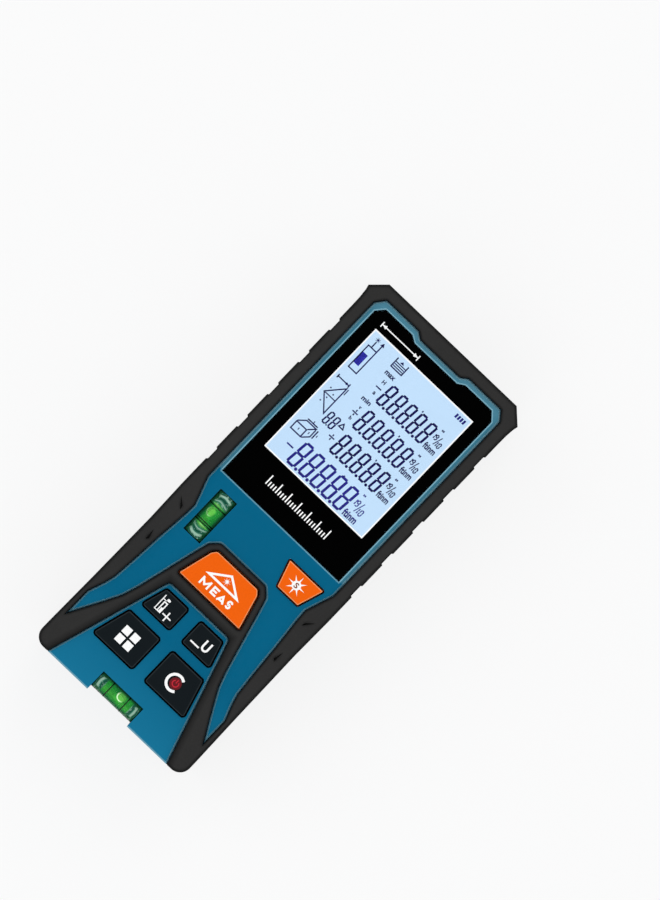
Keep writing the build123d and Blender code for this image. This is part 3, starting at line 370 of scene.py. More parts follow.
def board_look():
    """Green solder mask over copper: fine traces, and plated pads."""
    look = Look("circuit_board", Specular_IOR_Level=0.5)
    x = look.axes()[0]
    wander = look.maths("MULTIPLY", look.noise(6, 0), TRACE_WANDER * MM)
    across = look.maths("PINGPONG", look.maths("ADD", x, wander), TRACE_PITCH / 2 * MM)
    trace = look.spread(across, *(place * MM for place in TRACE_EDGE))
    mask = look.mix(trace, SOLDER_MASK, MASK_ON_COPPER)
    pads = look.spread(look.cells(2.2), 0.12, 0.10)
    look.feed("Base Color", look.mix(pads, mask, PAD_PLATING))
    look.feed("Metallic", pads)
    look.feed("Roughness", look.spread(look.noise(1.2), 0.3, 0.7, 0.25, 0.4))
    look.bump(trace, 0.02)
    return look


def display_look():
    """Lit display glass: pale blue field with a bright line where the backlight shows at its edge."""
    look = Look("lcd_glass", Roughness=0.2, Specular_IOR_Level=0.3, Emission_Strength=DISPLAY_GLOW)
    x, y, _ = look.axes()
    middle = ((DISPLAY[0] + DISPLAY[2]) / 2 * MM, (DISPLAY[1] + DISPLAY[3]) / 2 * MM)
    half = ((DISPLAY[2] - DISPLAY[0]) / 2 * MM, (DISPLAY[3] - DISPLAY[1]) / 2 * MM)
    reach = [
        look.maths("SUBTRACT", look.maths("ABSOLUTE", look.maths("SUBTRACT", axis, centre)), size)
        for axis, centre, size in zip((x, y), middle, half)
    ]
    rim = look.spread(look.maths("MAXIMUM", *reach), *(-depth * MM for depth in DISPLAY_RIM))
    field = look.mix(look.noise(14, 2), DISPLAY_FIELD, tinted(DISPLAY_FIELD, 0.06))
    rows = look.maths("PINGPONG", y, PIXEL_ROW * MM)
    field = look.mix(look.spread(rows, 0, PIXEL_ROW * MM, 0, 0.05), field, WHITE)
    lit = look.mix(rim, field, WHITE)
    look.feed("Base Color", (*DISPLAY_UNLIT, 1))
    look.feed("Emission Color", lit)
    return look


def skin_look():
    """Clear skin of a vial tube: almost invisible, but for its gloss and its green flanks; its colour
    is painted light and shade and glows as painted light.
    """
    look = Look("vial_acrylic", Specular_IOR_Level=0.5, Emission_Strength=0.25)
    upward = look.upward(look.flat_normal())
    # painted shading: lighter where the skin faces up, darker on its flanks
    tint = look.mix(look.spread(upward, 0.25, 0.75), VIAL_SKIN_SHADE, VIAL_SKIN_LIT)
    look.feed("Base Color", tint)
    look.feed("Emission Color", tint)
    look.feed("Alpha", look.spread(upward, 0.30, 0.78, 0.80, 0.05))
    look.feed("Roughness", look.spread(look.noise(3.0, 2), 0.3, 0.7, 0.04, 0.12))
    return look


def vial_places(look):
    """Distance along a vial from its middle, and across it, in metres, for whichever vial it is."""
    x, y, _ = look.axes()
    lows, highs = zip(*(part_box(f"{vial}_vial_tube") for vial in ("side", "end")))
    side, end = ((low + high) / 2 for low, high in zip(lows, highs))
    at_end = look.maths("LESS_THAN", y, (side.y + end.y) / 2)
    offsets = []
    for for_side, for_end in (
        (look.maths("SUBTRACT", y, side.y), look.maths("SUBTRACT", x, end.x)),
        (look.maths("SUBTRACT", x, side.x), look.maths("SUBTRACT", y, end.y)),
    ):
        kept = look.maths("MULTIPLY", for_side, look.maths("SUBTRACT", 1.0, at_end))
        offsets.append(look.maths("ADD", kept, look.maths("MULTIPLY", for_end, at_end)))
    return *offsets, at_end


def liquid_look():
    """Green vial liquid that glows as painted light, with a painted highlight, shaded flanks, and the
    bubble painted bright inside its rim.
    """
    look = Look("vial_liquid", IOR=1.36, Specular_IOR_Level=0.2, Emission_Strength=0.8)
    along, across, at_end = vial_places(look)
    swirl = look.spread(look.noise(1.8, 2, (1, 1, 0.2)), 0.35, 0.65)
    green = look.mix(swirl, DYE_DARK, DYE_LIGHT)
    # painted highlight a little to one side of the middle, and painted shade towards the flanks
    aside = look.maths("ABSOLUTE", look.maths("ADD", across, DYE_HIGHLIGHT_ASIDE * MM))
    dye_highlight = look.spread(aside, *(place * MM for place in DYE_HIGHLIGHT_REACH), 0.75, 0)
    green = look.mix(dye_highlight, green, DYE_HIGHLIGHT)
    flank_shade = look.spread(look.maths("ABSOLUTE", across), *(place * MM for place in DYE_SHADE_REACH))
    green = look.mix(flank_shade, green, DYE_SHADE)
    # places on the bubble as shares of its half sizes: its edge is where their squares add to 1
    from_bubble = look.maths("SUBTRACT", along, BUBBLE_ALONG * MM)
    from_bubble = look.maths("DIVIDE", from_bubble, BUBBLE_LENGTH * MM)
    bubble_across = look.spread(at_end, 0, 1, *(place * MM for place in BUBBLE_ACROSS))
    off_bubble = look.maths("SUBTRACT", across, bubble_across)
    off_bubble = look.maths("DIVIDE", off_bubble, BUBBLE_WIDTH * MM)
    squares = look.maths(
        "ADD", look.maths("POWER", from_bubble, 2.0), look.maths("POWER", off_bubble, 2.0)
    )
    # the bubble is painted lighter, with a painted glint on its rim on the lit side
    green = look.mix(look.spread(squares, 1.3, 0.5, 0, 0.55), green, BUBBLE_HIGHLIGHT)
    rim = look.maths("MULTIPLY", look.spread(squares, 0.55, 0.85), look.spread(squares, 1.35, 1.0))
    lit_side = look.spread(look.maths("ADD", from_bubble, off_bubble), 0.2, -0.9)
    strength = look.spread(at_end, 0, 1, 0.3, 1)
    glint = look.maths("MULTIPLY", look.maths("MULTIPLY", rim, lit_side), strength)
    green = look.mix(glint, green, BUBBLE_GLINT)
    look.feed("Base Color", green)
    look.feed("Emission Color", green)
    look.feed("Roughness", look.spread(swirl, 0.0, 1.0, 0.2, 0.35))
    return look


def plug_look():
    """Clear turned plugs at the vial ends, seen through the tube as curved bands of painted highlight
    and shade, glowing as painted light.
    """
    look = Look("vial_plug", Specular_IOR_Level=0.3, Emission_Strength=0.6)
    along, across, _ = vial_places(look)
    from_end = look.maths("SUBTRACT", VIAL_HALF * MM, look.maths("ABSOLUTE", along))
    squared = look.maths("POWER", look.maths("DIVIDE", across, MM), 2.0)
    bowed = look.maths("MULTIPLY", squared, 0.14 * MM)
    wander = look.spread(look.noise(2.6, 1), 0.3, 0.7, 0, 0.3 * MM)
    depth = look.maths("ADD", look.maths("SUBTRACT", from_end, bowed), wander)
    ramp = look.tree.nodes.new("ShaderNodeValToRGB")
    stops = ramp.color_ramp.elements
    # bands of painted highlight and painted shade, bowed across the tube
    bands = (
        (0.05, MID_TEAL), (0.13, DEEP_TEAL), (0.20, MINT_HIGHLIGHT), (0.28, MINT_HIGHLIGHT), (0.34, MID_TEAL),
        (0.44, DEEP_TEAL), (0.52, MID_TEAL), (0.60, MINT_HIGHLIGHT), (0.66, MID_TEAL), (0.76, LEAF),
        (0.86, BRIGHT_LEAF),
    )
    for place, colour in bands:
        stop = stops.new(place)
        stop.color = (*colour, 1)
    look.link(look.maths("DIVIDE", depth, PLUG_DEPTH * MM), ramp.inputs[0])
    # small painted glints
    bands_and_glints = look.mix(look.spread(look.noise(0.8, 2), 0.60, 0.72), ramp.outputs[0], MINT_HIGHLIGHT)
    look.feed("Base Color", bands_and_glints)
    look.feed("Emission Color", bands_and_glints)
    look.feed("Roughness", look.spread(look.noise(0.9), 0.3, 0.7, 0.15, 0.3))
    return look


def cell_look():
    """AAA cell: printed sleeve with a coloured shoulder, bare steel at both ends."""
    look = Look("cell_sleeve")
    low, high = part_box("battery_left")
    y = look.axes()[1]
    from_low, from_high = look.maths("SUBTRACT", y, low.y), look.maths("SUBTRACT", high.y, y)
    sleeve = look.maths(
        "GREATER_THAN", look.maths("MINIMUM", from_low, from_high), CELL_BARE_END * MM
    )
    shoulder = look.maths("LESS_THAN", from_high, CELL_SHOULDER_LENGTH * MM)
    grime = look.noise(4, 3)
    print_colour = look.mix(shoulder, CELL_PRINT, CELL_SHOULDER)
    steel = look.mix(grime, *CELL_STEEL)
    look.feed("Base Color", look.mix(sleeve, steel, print_colour))
    look.feed("Metallic", look.spread(sleeve, 0, 1, 1.0, 0.0))
    look.feed("Roughness", look.spread(grime, 0.3, 0.7, 0.26, 0.38))
    look.bump(look.noise(0.9), 0.01)
    return look


def printed(name, colour, rough=0.5):
    """Screen-printed ink: slightly uneven cover with a rough skin."""
    look = Look(name, Specular_IOR_Level=0.2)
    cover = look.spread(look.noise(0.5, 3), 0.3, 0.7)
    ink = look.mix(cover, tinted(colour, -0.06), tinted(colour, 0.04))
    look.feed("Base Color", ink)
    look.feed("Roughness", look.spread(look.noise(0.2), 0.3, 0.7, rough - 0.06, rough + 0.06))
    look.bump(look.noise(0.12, 2), 0.003)
    return look


looks = {
    "blue_shell": shell_look(),
    "grip_rubber": rubber_look(),
    "window_pane": clear("window_pane", (0.98, 0.99, 1.0), 0.0),
    "black_mask": moulded("black_mask", (0.0016, 0.0013, 0.0014), 0.35, depth=0.002, specular=0.1),
    "lcd_glass": display_look(),
    "light_guide": moulded("light_guide", (0.80, 0.86, 0.90), 0.25, depth=0.01, specular=0.5),
    "elastomer": moulded("elastomer", (0.014, 0.014, 0.015), 0.6, grain=0.2),
    "black_plastic": moulded("black_plastic", (0.006, 0.006, 0.007), 0.45),
    "circuit_board": board_look(),
    "chip_plastic": moulded("chip_plastic", (0.012, 0.012, 0.013), 0.5, grain=0.12,
                            edge_highlight=(0.05, 0.05, 0.05)),
    "tin_plate": metal("tin_plate", (0.62, 0.62, 0.60), 0.32),
    "steel_screw": metal("steel_screw", (0.10, 0.10, 0.105), 0.38),
    "steel_contact": metal("steel_contact", (0.70, 0.68, 0.62), 0.28),
    # the second colour is the painted highlight on each key's edges and bevel
    "orange_key": key_look("orange_key", ORANGE, (1.0, 0.40, 0.17), 0.42),
    "black_key": key_look("black_key", KEY_BLACK, (0.030, 0.036, 0.040), 0.55),
    "vial_acrylic": skin_look(),
    "vial_liquid": liquid_look(),
    "vial_plug": plug_look(),
    "cradle_plastic": moulded("cradle_plastic", (0.002, 0.030, 0.022), 0.4),
    "label_film": moulded("label_film", (0.30, 0.31, 0.32), 0.32, grain=0.1, depth=0.002,
                          specular=0.5),
    "brass_insert": thread_look(),
    "cell_sleeve": cell_look(),
    "die_cast": metal("die_cast", (0.36, 0.365, 0.37), 0.5, grain=0.25, stretch=(1, 1, 1), depth=0.02),
    "optical_glass": clear("optical_glass", (0.86, 0.93, 1.0), 0.0, 1.6),
    "filter_glass": clear("filter_glass", (0.32, 0.01, 0.015), 0.0, 1.52),
    "flex_film": moulded("flex_film", (0.50, 0.17, 0.012), 0.3, depth=0.004, specular=0.5),
    "gloss_black": moulded("gloss_black", (0.004, 0.004, 0.0045), 0.22, grain=0.6, depth=0.003,
                           edge_highlight=(0.03, 0.03, 0.03), specular=0.5),
    "port_glass": clear("port_glass", (0.62, 0.12, 0.16), 0.0, 1.52),
}
for subpart in frame["record"]["subparts"]:
    mesh = nodes[subpart["node"]].data
    mesh.materials.clear()
    mesh.materials.append(looks[subpart["material_slot"]].material)

white_ink = printed("white_ink", (0.92, 0.92, 0.91)).material
segment_ink = printed("segment_ink", (0.014, 0.010, 0.155), 0.35).material
indigo_ink = printed("indigo_ink", (0.035, 0.030, 0.42), 0.35).material
red_ink = printed("red_ink", (0.13, 0.004, 0.008)).material
bright_red_ink = printed("bright_red_ink", (0.50, 0.015, 0.03)).material
burnt_ink = printed("burnt_ink", (0.26, 0.05, 0.01)).material
black_ink = printed("black_ink", (0.002, 0.004, 0.003)).material
block_ink = printed("block_ink", (0.05, 0.05, 0.66), 0.35).material


# ---------------------------------------------------------------- printed marks
# strokes of a seven-segment figure, named clockwise from the top one, and the middle one last
SEGMENTS = {"8": "abcdefg", "1": "bc", "9": "abcdfg", "0": "abcdef"}


def arc(centre, radius, start, end, count=24):
    """Points on an arc between two angles in degrees."""
    steps = [math.radians(start + (end - start) * i / count) for i in range(count + 1)]
    return [(centre[0] + radius * math.cos(a), centre[1] + radius * math.sin(a)) for a in steps]


class Marks:
    """Flat marks in millimetres that lie on one level, gathered into one thin raised mesh."""

    def __init__(self):
        self.mesh = bmesh.new()
        self.count = 0

    def lift(self):
        """Height of the next stroke: neighbours differ a little, so that their tops never coincide."""
        self.count += 1
        return self.count % 5 * 0.002

    def shape(self, points):
        """Filled polygon."""
        lift = self.lift()
        return self.mesh.faces.new([self.mesh.verts.new((x, y, lift)) for x, y in points])

    def bar(self, low, high):
        self.shape([low, (high[0], low[1]), high, (low[0], high[1])])

    def disc(self, centre, radius):
        self.shape(arc(centre, radius, 0, 360, 36)[:-1])

    def line(self, points, width, closed=False):
        """Line of even width with mitred corners."""
        count = len(points)
        lift = self.lift()
        sides = []
        for i, point in enumerate(points):
            before = points[i - 1] if closed or i else None
            after = points[(i + 1) % count] if closed or i < count - 1 else None
            runs = [
                (Vector(b) - Vector(a)).normalized()
                for a, b in ((before, point), (point, after)) if a and b
            ]
            across = [Vector((-run.y, run.x)) for run in runs]
            mitre = (across[0] + across[-1]).normalized()
            mitre *= width / 2 / mitre.dot(across[0])
            sides.append([self.mesh.verts.new((*(Vector(point) + s * mitre), lift)) for s in (1, -1)])
        for i in range(count if closed else count - 1):
            (a, b), (c, d) = sides[i], sides[(i + 1) % count]
            self.mesh.faces.new((a, b, d, c))

    def burst(self, centre, inner, outer, rays, half_angle):
        """Pointed rays round a centre."""
        for i in range(rays):
            angle = 360 / rays * i + 90
            foot = arc(centre, inner, angle - half_angle, angle + half_angle, 2)
            self.shape([*foot, arc(centre, outer, angle, angle, 1)[0]])

    def text(self, words, low, high, heavy=0.0):
        """Words in Blender's own font, fitted between two corners."""
        font = bpy.data.curves.new("words", "FONT")
        font.body, font.offset, font.resolution_u = words, heavy, 4
        thing = bpy.data.objects.new("words", font)
        outline = bpy.data.meshes.new_from_object(thing)
        for axis in (0, 1):
            ends = [f([v.co[axis] for v in outline.vertices]) for f in (min, max)]
            for v in outline.vertices:
                share = (v.co[axis] - ends[0]) / (ends[1] - ends[0])
                v.co[axis] = low[axis] + share * (high[axis] - low[axis])
        self.mesh.from_mesh(outline)
        bpy.data.objects.remove(thing)
        bpy.data.curves.remove(font)
        bpy.data.meshes.remove(outline)

    def digit(self, figure, x, y, wide, tall, stroke, lean=0.1):
        """Seven-segment figure whose low left corner is x, y."""
        half, middle, gap = stroke / 2, tall / 2, stroke * 0.12
        ends = {
            "a": ((0, tall), (wide, tall)), "b": ((wide, tall), (wide, middle)),
            "c": ((wide, middle), (wide, 0)), "d": ((0, 0), (wide, 0)),
            "e": ((0, middle), (0, 0)), "f": ((0, tall), (0, middle)),
            "g": ((0, middle), (wide, middle)),
        }
        for name in SEGMENTS[figure]:
            start, end = (Vector(p) for p in ends[name])
            run = (end - start).normalized()
            side = Vector((-run.y, run.x)) * half
            start, end = start + run * gap, end - run * gap
            tip = run * half * 0.35
            outline = [
                start, start + tip + side, end - tip + side, end, end - tip - side, start + tip - side
            ]
            self.shape([(x + p.x + lean * p.y, y + p.y) for p in outline])

    def finish(self, name, level, material, body):
        """Thicken the marks upwards from level, which is in metres, and let them ride on a body."""
        bmesh.ops.recalc_face_normals(self.mesh, faces=self.mesh.faces)
        raised = bmesh.ops.extrude_face_region(self.mesh, geom=self.mesh.faces[:])["geom"]
        top = [v for v in raised if isinstance(v, bmesh.types.BMVert)]
        bmesh.ops.translate(self.mesh, verts=top, vec=(0, 0, INK))
        bmesh.ops.recalc_face_normals(self.mesh, faces=self.mesh.faces)
        to_metres = Matrix.Translation((0, 0, level)) @ Matrix.Scale(MM, 4)
        bmesh.ops.transform(self.mesh, matrix=to_metres, verts=self.mesh.verts)
        return add_piece(name, self.mesh, material, body)


def add_piece(name, mesh, material, body):
    """Turn a bmesh into an object that rides on a body."""
    data = bpy.data.meshes.new(name)
    mesh.to_mesh(data)
    mesh.free()
    data.materials.append(material)
    piece = bpy.data.objects.new(name, data)
    bpy.context.scene.collection.objects.link(piece)
    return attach(piece, body)


# ---------------------------------------------------------------- what the display shows
ROW_FIGURES = 5


def display_row(marks, x, y, wide, tall, pitch, stroke):
    """Five figures with points, then a small fraction, the units, and the foot and inch ticks."""
    last = ROW_FIGURES - 1
    for i in range(ROW_FIGURES):
        marks.digit("8", x + i * pitch, y, wide, tall, stroke)
        if i < last:
            point = (x + (i + 1) * pitch - (pitch - wide) / 2, y)
            marks.disc(point, stroke * 0.62)
    end = x + last * pitch + wide + 0.1 * tall
    for tick in (end - 5.4, end + 1.2, end + 1.6):
        marks.bar((tick, y + tall + 0.1), (tick + 0.34, y + tall + 0.6))
    # the fraction and the units grow with the row's figures
    size = tall / 6.1
    middle = y + tall * 0.5
    for figure, step in (("1", 0.3), ("9", 1.2)):
        marks.digit(figure, end + step * size, middle + 0.3 * size, 0.6 * size, 1.5 * size, 0.3)
    marks.line([(end + 2.0 * size, middle - 0.9 * size), (end + 2.9 * size, middle + 2.0 * size)], 0.24)
    for figure, step in (("1", 2.1), ("0", 3.2)):
        marks.digit(figure, end + step * size, middle - 0.9 * size, 0.6 * size, 1.5 * size, 0.3)
    marks.text("ftinm", (end + 0.3, y - 0.2), (end + 4.1 * size, y + 1.7 * size), 0.034)


def display_icons(marks):
    """Small pictures down the left of the display."""
    # the meter, its reference edge and its beam
    marks.line([(-14.7, 39.1), (-12.1, 39.1), (-12.1, 46.1), (-14.7, 46.1)], 0.33, closed=True)
    marks.line([(-13.8, 46.1), (-13.8, 47.9)], 0.34)
    marks.disc((-13.8, 48.5), 0.32)
    marks.burst((-13.8, 48.5), 0.42, 0.75, 8, 14)
    marks.line([(-12.1, 46.1), (-12.1, 48.2)], 0.34)
    marks.shape([(-12.7, 48.0), (-11.5, 48.0), (-12.1, 49.0)])
    # stored values
    marks.line([(-7.4, 48.9), (-7.4, 46.2), (-4.0, 46.2), (-4.0, 48.9)], 0.34)
    for level in (46.75, 47.3, 47.85):
        marks.line([(-7.2, level), (-4.2, level)], 0.28)
    marks.shape([(-6.3, 48.2), (-5.1, 48.2), (-5.7, 48.9)])
    # distance, with its end stops
    marks.line([(-14.9, 35.75), (-11.3, 35.75)], 0.33)
    for x in (-14.9, -11.3):
        marks.line([(x, 35.2), (x, 36.3)], 0.34)
    marks.disc((-12.1, 35.75), 0.32)
    # indirect height
    corner, top, foot = (-14.8, 30.8), (-11.2, 34.9), (-11.2, 26.8)
    marks.line([corner, top, foot], 0.33, closed=True)
    marks.line([(-14.5, 30.8), (-11.3, 30.8)], 0.28)
    marks.line([(-10.7, 33.3), (-10.7, 35.0)], 0.28)
    for x, y in ((-12.6, 31.6), (-13.3, 30.1), (-14.2, 32.5), (-14.0, 28.6)):
        marks.disc((x, y), 0.2)
    # room
    marks.line([(-14.6, 18.9), (-11.4, 18.9), (-11.4, 21.1), (-14.6, 21.1)], 0.34, closed=True)
    marks.line([(-14.6, 21.3), (-12.9, 22.8), (-9.8, 22.8), (-11.3, 21.3)], 0.33)
    marks.line([(-11.2, 18.9), (-9.7, 20.4), (-9.7, 22.6)], 0.33)
    marks.line([(-13.0, 23.3), (-9.8, 23.3)], 0.34)
    marks.line([(-9.1, 20.4), (-9.1, 22.8)], 0.34)
    for x, y in ((-13.0, 20.0), (-10.5, 20.9), (-8.5, 21.6), (-11.3, 23.7)):
        marks.bar((x - 0.12, y - 0.3), (x + 0.12, y + 0.3))
    # signs and small letters between the pictures and the figures
    for words, x, y, wide, tall in (
        ("max", -5.9, 44.3, 3.0, 1.0), ("H", -5.8, 42.15, 0.9, 1.1), ("a", -5.8, 38.7, 0.7, 0.8),
        ("min", -5.85, 36.1, 2.7, 1.2), ("v", -5.8, 33.8, 0.7, 0.7), ("b", -5.8, 30.5, 0.7, 1.0),
    ):
        marks.text(words, (x - wide / 2, y - tall / 2), (x + wide / 2, y + tall / 2), 0.035)
    for y in (40.3, 32.15, 24.0):
        marks.bar((-6.7, y - 0.17), (-5.0, y + 0.17))
    for y in (32.15, 24.0):
        for stop in (1, -1):
            marks.bar((-6.02, y + stop * 0.3), (-5.68, y + stop * 0.85))
    marks.line([(-6.5, 27.1), (-5.1, 27.1), (-5.8, 28.3)], 0.33, closed=True)
    for x in (-10.3, -8.4):
        marks.digit("8", x, 25.2, 1.05, 3.3, 0.42)
    marks.disc((-8.85, 25.2), 0.2)


display_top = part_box("lcd_panel")[1].z

SMALL_ROWS = (37.55, 29.35, 21.35)  # feet of the rows of small figures
small_figures = Marks()
display_icons(small_figures)
for row_y in SMALL_ROWS:
    display_row(small_figures, x=-4.1, y=row_y, wide=1.65, tall=5.6, pitch=3.22, stroke=0.6)
small_figures.finish("display_figures", display_top, segment_ink, "case")

main_figures = Marks()
display_row(main_figures, x=-9.75, y=12.5, wide=2.15, tall=6.45, pitch=3.76, stroke=0.68)
main_figures.bar((-12.7, 15.5), (-10.7, 15.9))
# battery level: leaning bars
BATTERY_BARS, BATTERY_X, BATTERY_PITCH = 4, 11.95, 0.8
BATTERY_FOOT, BATTERY_HEAD = 47.85, 49.0
for i in range(BATTERY_BARS):
    bar_x = BATTERY_X + i * BATTERY_PITCH
    main_figures.shape([
        (bar_x, BATTERY_FOOT), (bar_x + 0.55, BATTERY_FOOT),
        (bar_x + 0.65, BATTERY_HEAD), (bar_x + 0.1, BATTERY_HEAD),
    ])
main_figures.finish("display_main_figures", display_top, indigo_ink, "case")
# block inside the small picture of the meter
meter_block = Marks()
meter_block.bar((-14.55, 40.7), (-13.0, 44.1))
meter_block.finish("display_meter_block", display_top, block_ink, "case")

# ---------------------------------------------------------------- marks on the window
# a plain scale of ticks under the display, and a double-ended arrow over it
TICKS, TICK_START, TICK_PITCH, TICK_FOOT = 25, -9.6, 0.8, 5.0
LONG_TICK, SHORT_TICK, TICK_HALF = 2.7, 1.3, 0.16
ARROW_LOW, ARROW_HIGH, ARROW_Y = -15.7, -3.9, 51.95
pane_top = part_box("display_window")[1].z
scale_marks = Marks()
for i in range(TICKS):
    tick_x = TICK_START + i * TICK_PITCH
    tall = LONG_TICK if i % 4 == 0 else SHORT_TICK
    scale_marks.bar((tick_x - TICK_HALF, TICK_FOOT), (tick_x + TICK_HALF, TICK_FOOT + tall))
scale_marks.line([(ARROW_LOW + 0.1, ARROW_Y), (ARROW_HIGH - 0.1, ARROW_Y)], 0.28)
for end_x in (ARROW_LOW, ARROW_HIGH):
    scale_marks.bar((end_x - 0.14, ARROW_Y - 0.75), (end_x + 0.14, ARROW_Y + 0.75))
for tip_x, towards in ((ARROW_LOW + 0.2, 1), (ARROW_HIGH - 0.2, -1)):
    base_x = tip_x + towards * 1.1
    scale_marks.shape([(tip_x, ARROW_Y), (base_x, ARROW_Y + 0.5), (base_x, ARROW_Y - 0.5)])
scale_marks.finish("window_marks", pane_top, white_ink, "case")

# ---------------------------------------------------------------- plain ruled form on the back label
label_low, label_high = (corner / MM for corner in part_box("rear_label"))
LABEL_MARGIN, LABEL_ROWS = 1.2, 4
form = Marks()
left, right = label_low.x + LABEL_MARGIN, label_high.x - LABEL_MARGIN
foot, head = label_low.y + LABEL_MARGIN, label_high.y - LABEL_MARGIN
form.line([(left, foot), (right, foot), (right, head), (left, head)], 0.3, closed=True)
for row in range(1, LABEL_ROWS):
    row_y = foot + row * (head - foot) / LABEL_ROWS
    form.line([(left + LABEL_MARGIN, row_y), (right - LABEL_MARGIN, row_y)], 0.18)
form.finish("rear_label_marks", (label_low.z - INK) * MM, black_ink, "case")

# ---------------------------------------------------------------- marks on the keys
key_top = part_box("measure_key")[1].z

# measure key: a roof over a spark, and the letters MEAS drawn as strokes
measure_marks = Marks()
measure_marks.line([(0, -16.6), (4.6, -19.8), (-4.6, -19.8)], 0.55, closed=True)
measure_marks.burst((0, -18.35), 0.25, 1.05, 8, 20)
measure_marks.disc((0, -18.35), 0.42)
LETTER_LOW, LETTER_HIGH, LETTER_STROKE = -23.1, -20.95, 0.5
letter_foot, letter_head = LETTER_LOW + LETTER_STROKE / 2, LETTER_HIGH - LETTER_STROKE / 2
letter_middle = (LETTER_LOW + LETTER_HIGH) / 2
measure_letters = (
    # M
    [(-4.75, LETTER_LOW), (-4.75, LETTER_HIGH)],
    [(-4.75, -21.25), (-3.6, -22.5), (-2.45, -21.25)],
    [(-2.45, LETTER_LOW), (-2.45, LETTER_HIGH)],
    # E
    [(0.35, letter_head), (-1.2, letter_head), (-1.2, letter_foot), (0.35, letter_foot)],
    [(-1.2, letter_middle), (0.1, letter_middle)],
    # A
    [(0.95, LETTER_LOW), (1.9, LETTER_HIGH - 0.55), (2.85, LETTER_LOW)],
    [(1.35, -22.65), (2.45, -22.65)],
    # S
    [*arc((4.15, -21.65), 0.5, 15, 265, 12), *arc((4.15, -22.45), 0.45, 85, -165, 12)],
)
for letter in measure_letters:
    measure_marks.line(letter, LETTER_STROKE)
measure_marks.finish("measure_key_marks", key_top, white_ink, "measure_key")

# beam key: a star with a letter in its middle
BEAM = (12.6, -7.5)
beam_marks = Marks()
beam_marks.disc(BEAM, 1.15)
beam_marks.burst(BEAM, 1.1, 2.6, 8, 11)
beam_marks.finish("beam_key_marks", key_top, white_ink, "beam_key")
beam_letter = Marks()
beam_letter.text("S", (BEAM[0] - 0.5, BEAM[1] - 0.7), (BEAM[0] + 0.5, BEAM[1] + 0.7), 0.02)
beam_letter.finish("beam_key_letter", key_top + INK * MM, burnt_ink, "beam_key")

# reference key: the meter beside its edge, and a plus
reference_marks = Marks()
reference_marks.bar((-8.45, -34.9), (-8.2, -30.6))
reference_marks.line(
    [(-7.5, -34.75), (-6.6, -34.75), (-6.6, -32.05), (-7.5, -32.05)], 0.3, closed=True
)
reference_marks.bar((-7.15, -34.75), (-6.6, -33.5))
reference_marks.bar((-8.3, -34.9), (-7.5, -34.65))
reference_marks.disc((-7.0, -31.2), 0.34)
reference_marks.disc((-6.7, -31.2), 0.3)
reference_marks.bar((-8.3, -31.75), (-7.3, -31.55))
reference_marks.bar((-6.0, -34.57), (-3.4, -34.23))
for low_y, high_y in ((-35.7, -34.57), (-34.23, -33.1)):
    reference_marks.bar((-4.87, low_y), (-4.53, high_y))
reference_marks.finish("reference_key_marks", key_top, white_ink, "reference_key")

# units key: a minus and a U
units_marks = Marks()
units_marks.bar((3.3, -34.65), (6.0, -34.25))
units_marks.line([(6.45, -31.6), *arc((7.2, -33.45), 0.75, 180, 360, 12), (7.95, -31.6)], 0.5)
units_marks.finish("units_key_marks", key_top, white_ink, "units_key")

# menu key: four squares
menu_marks = Marks()
for square_x in (-10.2, -7.55):
    for square_y in (-44.3, -46.85):
        menu_marks.bar((square_x, square_y), (square_x + 2.0, square_y + 2.05))
menu_marks.finish("menu_key_marks", key_top, white_ink, "menu_key")

# power key: a C round a red disc with the power sign
CLEAR_LETTER = (7.65, -44.45)
POWER_DISC = (7.9, -44.45)
power_marks = Marks()
power_marks.line(arc(CLEAR_LETTER, 2.1, 48, 312, 36), 0.68)
power_marks.finish("power_key_marks", key_top, white_ink, "power_key")
power_disc = Marks()
power_disc.disc(POWER_DISC, 1.5)
power_disc.finish("power_key_disc", key_top - 0.01 * MM, red_ink, "power_key")
power_sign = Marks()
power_sign.line(arc(POWER_DISC, 0.8, 125, 415, 24), 0.28)
sign_x, sign_y = POWER_DISC
power_sign.bar((sign_x - 0.14, sign_y + 0.1), (sign_x + 0.14, sign_y + 1.1))
power_sign.finish("power_key_sign", key_top + INK * MM, bright_red_ink, "power_key")


# ---------------------------------------------------------------- vials
RING_STEPS = 24


def vial_ring(name, node, at, half_width=0.14, thick=0.05):
    """Black band over the upper half of a vial tube, at so many millimetres from its middle."""
    low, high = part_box(node)
    middle, size = (low + high) / 2, high - low
    along = max(range(2), key=lambda axis: size[axis])
    across = 1 - along
    ring = bmesh.new()
    radius = size.z / 2
    rows = []
    for i in range(RING_STEPS + 1):
        angle = math.pi * i / RING_STEPS
        row = []
        for reach, side in ((0, -1), (thick, -1), (thick, 1), (0, 1)):
            point = [0.0, 0.0, middle.z + (radius + reach * MM) * math.sin(angle)]
            point[across] = middle[across] + (radius + reach * MM) * math.cos(angle)
            point[along] = middle[along] + (at + side * half_width) * MM
            row.append(ring.verts.new(point))
        rows.append(row)
    for a, b in zip(rows, rows[1:]):
        for j in range(4):
            ring.faces.new((a[j], a[j - 1], b[j - 1], b[j]))
    ring.faces.new(rows[0])
    ring.faces.new(reversed(rows[-1]))
    bmesh.ops.recalc_face_normals(ring, faces=ring.faces)
    return add_piece(name, ring, black_ink, "case")


# places of the rings from the middle of each vial, in millimetres
VIAL_RINGS = {"side": (-2.5, -1.95, 2.57), "end": (-2.66, 2.57)}
for vial, places in VIAL_RINGS.items():
    for index, ring_at in enumerate(places):
        vial_ring(f"{vial}_vial_ring_{index}", f"{vial}_vial_tube", ring_at)


